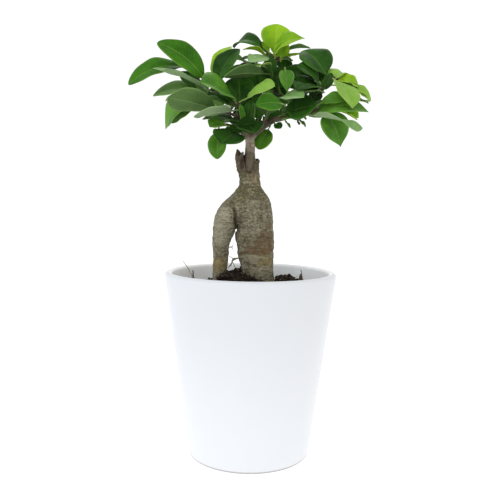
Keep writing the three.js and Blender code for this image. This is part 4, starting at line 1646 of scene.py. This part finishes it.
@dataclass
class Soil:
    """The mounded soil and the crumbs that lie on it, in millimetres.

    Attributes:
        dresser: Hands out the finishes.
        level: The soil's height away from the mound.
        mound: The mound's height over it.
        centre: The mound's place.
        spread: How far the mound reaches.
        radius: The soil's radius.
        depth: The height of the body's lower face, inside the pot.
        narrow: The lower face's share of the radius.
        cells: How many cells the surface has across.
        crumbs: How many crumbs lie on it.
        heaps: The place, the reach and the height of each heap.
        lumps: The height, the pitch and the layer of each of the noises.
    """

    dresser: Dresser
    level: float = 119.6
    mound: float = 21.0
    centre: tuple[float, float] = (-4.0, 0.0)
    spread: tuple[float, float] = (27.0, 25.0)
    radius: float = 55.5
    depth: float = 9.0
    narrow: float = 0.7
    cells: int = 130
    crumbs: int = 1050
    heaps: tuple = (
        (28.0, 7.0, 8.5, 10.0), (-31.0, 5.0, 8.0, 4.5), (40.0, 14.0, 7.0, 7.0), (36.0, 3.0, 6.0, 5.0),
        (-19.0, -13.0, 5.5, 8.0))
    lumps: tuple = ((1.3, 0.16, 0), (1.3, 0.45, 5), (1.3, 0.75, 9), (0.9, 1.3, 4))

    SEED = 11
    FLAT_HEAP = (-15.0, -2.0, 8.0, 0.0)
    ON_HEAPS = 0.5
    SMALLEST_CRUMB = 0.45
    CRUMB_RANGE = 2.6

    def height(self, x: float, y: float) -> float:
        """Measures the soil's height at a place.

        Args:
            x: How far it is to the right of the pot's axis, in millimetres.
            y: How far it is behind the axis, in millimetres.

        Returns:
            The height in millimetres.
        """
        dx, dy = (x - self.centre[0]) / self.spread[0], (y - self.centre[1]) / self.spread[1]
        lumps = sum(high * noise.noise(Vector((x, y, layer)) * pitch) for high, pitch, layer in self.lumps)
        heap = sum(
            high * math.exp(-((x - cx) ** 2 + (y - cy) ** 2) / wide ** 2) for cx, cy, wide, high in self.heaps)
        return self.level + self.mound * math.exp(-dx * dx - dy * dy) + heap + lumps

    def build(self) -> list[bpy.types.Object]:
        """Builds the soil's body and its crumbs.

        Returns:
            Both pieces.
        """
        mesh = bmesh.new()
        bmesh.ops.create_grid(mesh, x_segments=self.cells, y_segments=self.cells, size=self.radius)
        far = [v for v in mesh.verts if v.co.length > self.radius]
        bmesh.ops.delete(mesh, geom=far, context="VERTS")
        rim = [edge for edge in mesh.edges if edge.is_boundary]
        for vertex in {vertex for edge in rim for vertex in edge.verts}:
            vertex.co = vertex.co.normalized() * self.radius
        for vertex in mesh.verts:
            vertex.co.z = self.height(vertex.co.x, vertex.co.y)
        sunk = bmesh.ops.extrude_edge_only(mesh, edges=rim)["geom"]
        for vertex in only(sunk, bmesh.types.BMVert):
            vertex.co = Vector((vertex.co.x * self.narrow, vertex.co.y * self.narrow, self.depth))
        edges = [edge for edge in only(sunk, bmesh.types.BMEdge) if edge.is_boundary]
        bmesh.ops.holes_fill(mesh, edges=edges, sides=0)
        bmesh.ops.recalc_face_normals(mesh, faces=mesh.faces)
        bmesh.ops.scale(mesh, vec=(MM, MM, MM), verts=mesh.verts)
        body = new_piece("potting_soil", mesh, self.dresser.plain(Earth()), ["soil"])
        return [body, self.scatter()]

    def somewhere(self, chance: random.Random) -> tuple[float, float]:
        """Picks a random place on the soil, more often on one of the heaps.

        Args:
            chance: The source of random numbers.

        Returns:
            Its x and y, in millimetres.
        """
        if chance.random() < self.ON_HEAPS:
            cx, cy, wide, _ = chance.choice((*self.heaps, self.FLAT_HEAP))
            return cx + chance.gauss(0, 0.55 * wide), cy + chance.gauss(0, 0.55 * wide)
        turn = chance.uniform(0, 2 * math.pi)
        reach = (self.radius - 2.5) * math.sqrt(chance.random())
        return reach * math.cos(turn), reach * math.sin(turn)

    def scatter(self) -> bpy.types.Object:
        """Builds the crumbs.

        Returns:
            The piece.
        """
        chance = random.Random(self.SEED)
        mesh = bmesh.new()
        for _ in range(self.crumbs):
            x, y = self.somewhere(chance)
            size = self.SMALLEST_CRUMB + self.CRUMB_RANGE * chance.random() ** 3
            squash = Matrix.Diagonal((size * chance.uniform(0.7, 1.5), size, size * 0.7, 1))
            place = Matrix.Translation((x, y, self.height(x, y) + 0.15 * size))
            turned = Matrix.Rotation(chance.uniform(0, 6.28), 4, Vector((chance.random(), chance.random(), 1)))
            whole = Matrix.Scale(MM, 4) @ place @ turned @ squash
            for vertex in bmesh.ops.create_icosphere(mesh, subdivisions=1, radius=1.0, matrix=whole)["verts"]:
                jolt = Vector((chance.uniform(-1, 1), chance.uniform(-1, 1), chance.uniform(-1, 1)))
                vertex.co += jolt * 0.22 * size * MM
        crumb = Earth("crumbs", (0.044, 0.030, 0.021), (0.008, 0.006, 0.0045))
        return new_piece("soil_crumbs", mesh, self.dresser.plain(crumb), (), False)


@dataclass
class Litter:
    """The dead stub, the root thread, the wiry roots and the bits on the soil.

    Attributes:
        dresser: Hands out the finishes.
        soil: The soil that they lie on.
        bits: How many bits of bark and root are laid.
    """

    dresser: Dresser
    soil: Soil
    bits: int = 200

    SEED = 5
    STUB_AT = (0, 0.3, 0.55, 0.75, 0.9, 1.0)
    STUB_RADII = (2.1, 2.1, 1.9, 1.8, 1.5, 0.7)
    THREAD = (
        (-44, 20, 119.5), (-46, 21.5, 128), (-47.5, 22.5, 134), (-50, 23, 138.5), (-52.6, 23.5, 142.2),
        (-54, 24, 144.5))
    SPIKE = ((-44.5, 24.5, 118), (-45.6, 24.8, 128), (-46.6, 25, 137))
    WHISKER = ((39.4, 0.5, 134), (39.0, 0.4, 139), (38.4, 0.2, 141.6))
    HAIRS = (
        (0.52, (
            (-7.5, -3, 150.6), (-9.3, -4, 150.2), (-12.7, -4.4, 149.9), (-14.2, -4.4, 148.2),
            (-15, -4.2, 144.1))),
        (0.36, ((-13.2, -4.4, 149.6), (-14.9, -4.8, 150.9), (-16.4, -4.6, 151.3))),
        (0.34, ((-14.2, -4.4, 147.6), (-12.4, -4.2, 144.6), (-11.4, -4, 142))),
        (0.34, ((-14.7, -4.3, 146), (-16.4, -4, 143.6), (-17.4, -3.8, 142))),
        (0.34, ((-15.6, -3, 170.8), (-13.2, -3.4, 170), (-10.2, -3, 169.4))),
        (0.5, ((-17.6, -4, 158.6), (-15.4, -4.4, 158.4), (-13.7, -4.6, 158.6))),
        (0.22, ((-14.6, -4.5, 158.5), (-13.4, -4.6, 160.6), (-13.2, -4.6, 161.6))),
        (0.22, ((-14.4, -4.5, 158.4), (-13.4, -4.4, 156.4), (-12.9, -4.4, 155.4))),
    )

    def build(self) -> list[bpy.types.Object]:
        """Builds each piece of litter. The noise is seeded, so that each run bends the roots alike."""
        noise.seed_set(self.SEED)
        return [self.stub(), *self.threads(), self.root_hairs(), self.chips()]

    def stub(self) -> bpy.types.Object:
        """Builds the dead stub in its CAD node's place.

        Returns:
            The piece.
        """
        low, high = (Vector(corner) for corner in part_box("dry_stub"))
        middle = (low + high) / 2
        lean = []
        for share in self.STUB_AT:
            x = middle.x + 0.7 * MM - 1.4 * MM * share
            lean.append(Vector((x, middle.y + MM - 2 * MM * share, low.z + (high.z - low.z) * share)))
        mesh = bmesh.new()
        sweep(mesh, lean, [radius * MM for radius in self.STUB_RADII], 10)
        return new_piece("dead_stub", mesh, self.dresser.plain(Fibre.DEAD.value), ["dry_stub"])

    def limb(
            self, mesh: bmesh.types.BMesh, points: Sequence[Place], radius: float,
            fine: int = 5) -> None:
        """Adds a thin crooked root, thinner towards its end.

        Args:
            mesh: The shape that it is added to.
            points: The points that it passes, in millimetres.
            radius: Its radius at the first point, in millimetres.
            fine: Rings for each stretch between two points.
        """
        path = [Vector(point) * MM for point in points]
        steps = fine * (len(path) - 1)
        line = [catmull(path, (len(path) - 1) * step / steps) for step in range(steps + 1)]
        line = [point + noise.noise_vector(point * 300) * 0.35 * radius * MM for point in line]
        radii = [radius * MM * (1 - 0.5 * step / steps) for step in range(steps + 1)]
        sweep(mesh, line, radii, 6)

    def threads(self) -> list[bpy.types.Object]:
        """Builds the pale root thread and the two brown spikes.

        Returns:
            Both pieces.
        """
        mesh = bmesh.new()
        self.limb(mesh, self.THREAD, 0.55)
        thread = new_piece("root_thread", mesh, self.dresser.plain(Fibre.THREAD.value))
        mesh = bmesh.new()
        self.limb(mesh, self.SPIKE, 0.95)
        self.limb(mesh, self.WHISKER, 0.4)
        return [thread, new_piece("dead_spikes", mesh, self.dresser.plain(Fibre.DEAD.value))]

    def root_hairs(self) -> bpy.types.Object:
        """Builds the wiry roots in the gap of the trunk.

        Returns:
            The piece.
        """
        mesh = bmesh.new()
        for radius, points in self.HAIRS:
            self.limb(mesh, points, radius)
        return new_piece("root_hairs", mesh, self.dresser.plain(Fibre.HAIR.value))

    def chips(self) -> bpy.types.Object:
        """Builds the bits of bark and root that lie on the soil.

        Returns:
            The piece.
        """
        chance = random.Random(self.SEED)
        mesh = bmesh.new()
        for _ in range(self.bits):
            x, y = self.soil.somewhere(chance)
            if math.hypot(x, y) > self.soil.radius - 5:
                continue
            turn = chance.uniform(0, math.pi)
            reach = chance.uniform(0.8, 3.6)
            dx, dy = reach * math.cos(turn), reach * math.sin(turn)
            top = self.soil.height(x, y) + 0.6
            tilt = chance.uniform(-0.5, 1.3)
            ends = ((x - dx, y - dy, top - 0.2 * tilt), (x, y, top + 0.3), (x + dx, y + dy, top + tilt))
            self.limb(mesh, ends, chance.uniform(0.2, 0.6), 2)
        return new_piece("bark_chips", mesh, self.dresser.plain(Fibre.CHIP.value))


# Studio


@dataclass
class Studio:
    """The pale floor, the soft lights and the camera.

    Attributes:
        camera_place: Where the camera is, in metres.
        pitch: How far it looks down, in radians.
        roll: How far it is rolled, in radians.
        lens: Its focal length in millimetres.
        wall: How bright the walls are.
        ceiling: How bright the ceiling is.
        wall_top: The sine of the elevation where the walls end.
        ceiling_from: The sine of the elevation where the ceiling starts.
        floor_size: Half the floor's width in metres.
        aim: What the lamps look at, in metres.
    """

    camera_place: Place = (-0.00066, -0.4743, 0.195)
    pitch: float = 0.0819
    roll: float = 0.0130
    lens: float = 44.92
    wall: float = 1.06
    ceiling: float = 0.85
    wall_top: float = 0.34
    ceiling_from: float = 0.6
    floor_size: float = 6.0
    aim: Place = (0, 0, 0.18)

    LAMPS = (
        ("key", (-0.55, -0.85, 1.2), 0.5, 3.2, (0.88, 0.94, 1.0)),
        ("side", (-1.1, -0.3, 0.5), 0.6, 1.5, (0.62, 0.82, 1.0)),
        ("fill", (0.8, -0.8, 1.0), 0.6, 1.2, (1.0, 0.96, 0.92)),
        ("rim", (0.1, 0.7, 1.3), 0.5, 2.0, (1.0, 1.0, 1.0)),
    )

    def build(self) -> None:
        """Places everything that isn't the plant."""
        self.floor()
        for lamp in self.LAMPS:
            self.light(*lamp)
        self.sky()
        bpy.context.scene.view_settings.view_transform = "Standard"
        self.camera()

    def sky(self) -> None:
        """Surrounds the plant with white walls under a slightly dimmer ceiling."""
        graph = Graph("studio", True)
        bpy.context.scene.world = graph.holder
        shade = graph.node("ShaderNodeMapRange", None, {
            "Value": graph.axes(graph.coordinates("Generated")).value("Z"),
            "From Min": self.wall_top,
            "From Max": self.ceiling_from,
            "To Min": self.wall,
            "To Max": self.ceiling,
        }).value("Result")
        light = graph.node("ShaderNodeBackground", None, {"Color": shade}).value()
        graph.node("ShaderNodeOutputWorld", None, {"Surface": light})

    def floor(self) -> None:
        """Lays the floor."""
        mesh = bmesh.new()
        bmesh.ops.create_grid(mesh, x_segments=1, y_segments=1, size=self.floor_size)
        data = bpy.data.meshes.new("floor")
        mesh.to_mesh(data)
        mesh.free()
        graph = Graph("floor")
        data.materials.append(graph.finish(graph.surface({
            "Base Color": (0.35, 0.35, 0.35, 1.0),
            "Roughness": 1.0,
            "Specular IOR Level": 0.0,
            "Emission Color": (1.0, 1.0, 1.0, 1.0),
            "Emission Strength": 0.86,
        })))
        floor = bpy.data.objects.new("floor", data)
        floor.location = (0, 0, -0.0002)
        bpy.context.scene.collection.objects.link(floor)

    def light(self, name: str, place: Place, size: float, power: float, colour: Colour) -> None:
        """Hangs a soft lamp that looks at the plant.

        Args:
            name: The lamp's name.
            place: Where it hangs, in metres.
            size: Its width in metres.
            power: Its power in watts.
            colour: The colour of its light.
        """
        data = bpy.data.lights.new(name, "AREA")
        data.color = colour
        data.size = size
        data.energy = power
        lamp = bpy.data.objects.new(name, data)
        lamp.location = place
        way = Vector(self.aim) - Vector(place)
        lamp.rotation_euler = way.to_track_quat("-Z", "Y").to_euler()
        bpy.context.scene.collection.objects.link(lamp)

    def camera(self) -> None:
        """Places the camera where the photograph was taken from."""
        data = bpy.data.cameras.new("camera")
        data.lens = self.lens
        data.sensor_width = 36.0
        camera = bpy.data.objects.new("camera", data)
        camera.location = self.camera_place
        aim = Matrix.Rotation(math.pi / 2 - self.pitch, 4, "X")
        camera.rotation_euler = (aim @ Matrix.Rotation(self.roll, 4, "Z")).to_euler()
        bpy.context.scene.collection.objects.link(camera)
        bpy.context.scene.camera = camera


def main() -> None:
    """Builds the plant, its pot and the studio."""
    logging.basicConfig(level=logging.INFO, format="%(name)s: %(message)s")
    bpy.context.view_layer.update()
    dresser = Dresser()
    Studio().build()
    Pot(dresser).build()
    soil = Soil(dresser)
    soil.build()
    Litter(dresser, soil).build()
    Trunk(dresser).build()
    Stem(dresser).build()
    Canopy(dresser).build()


if __name__ == "__main__":
    main()
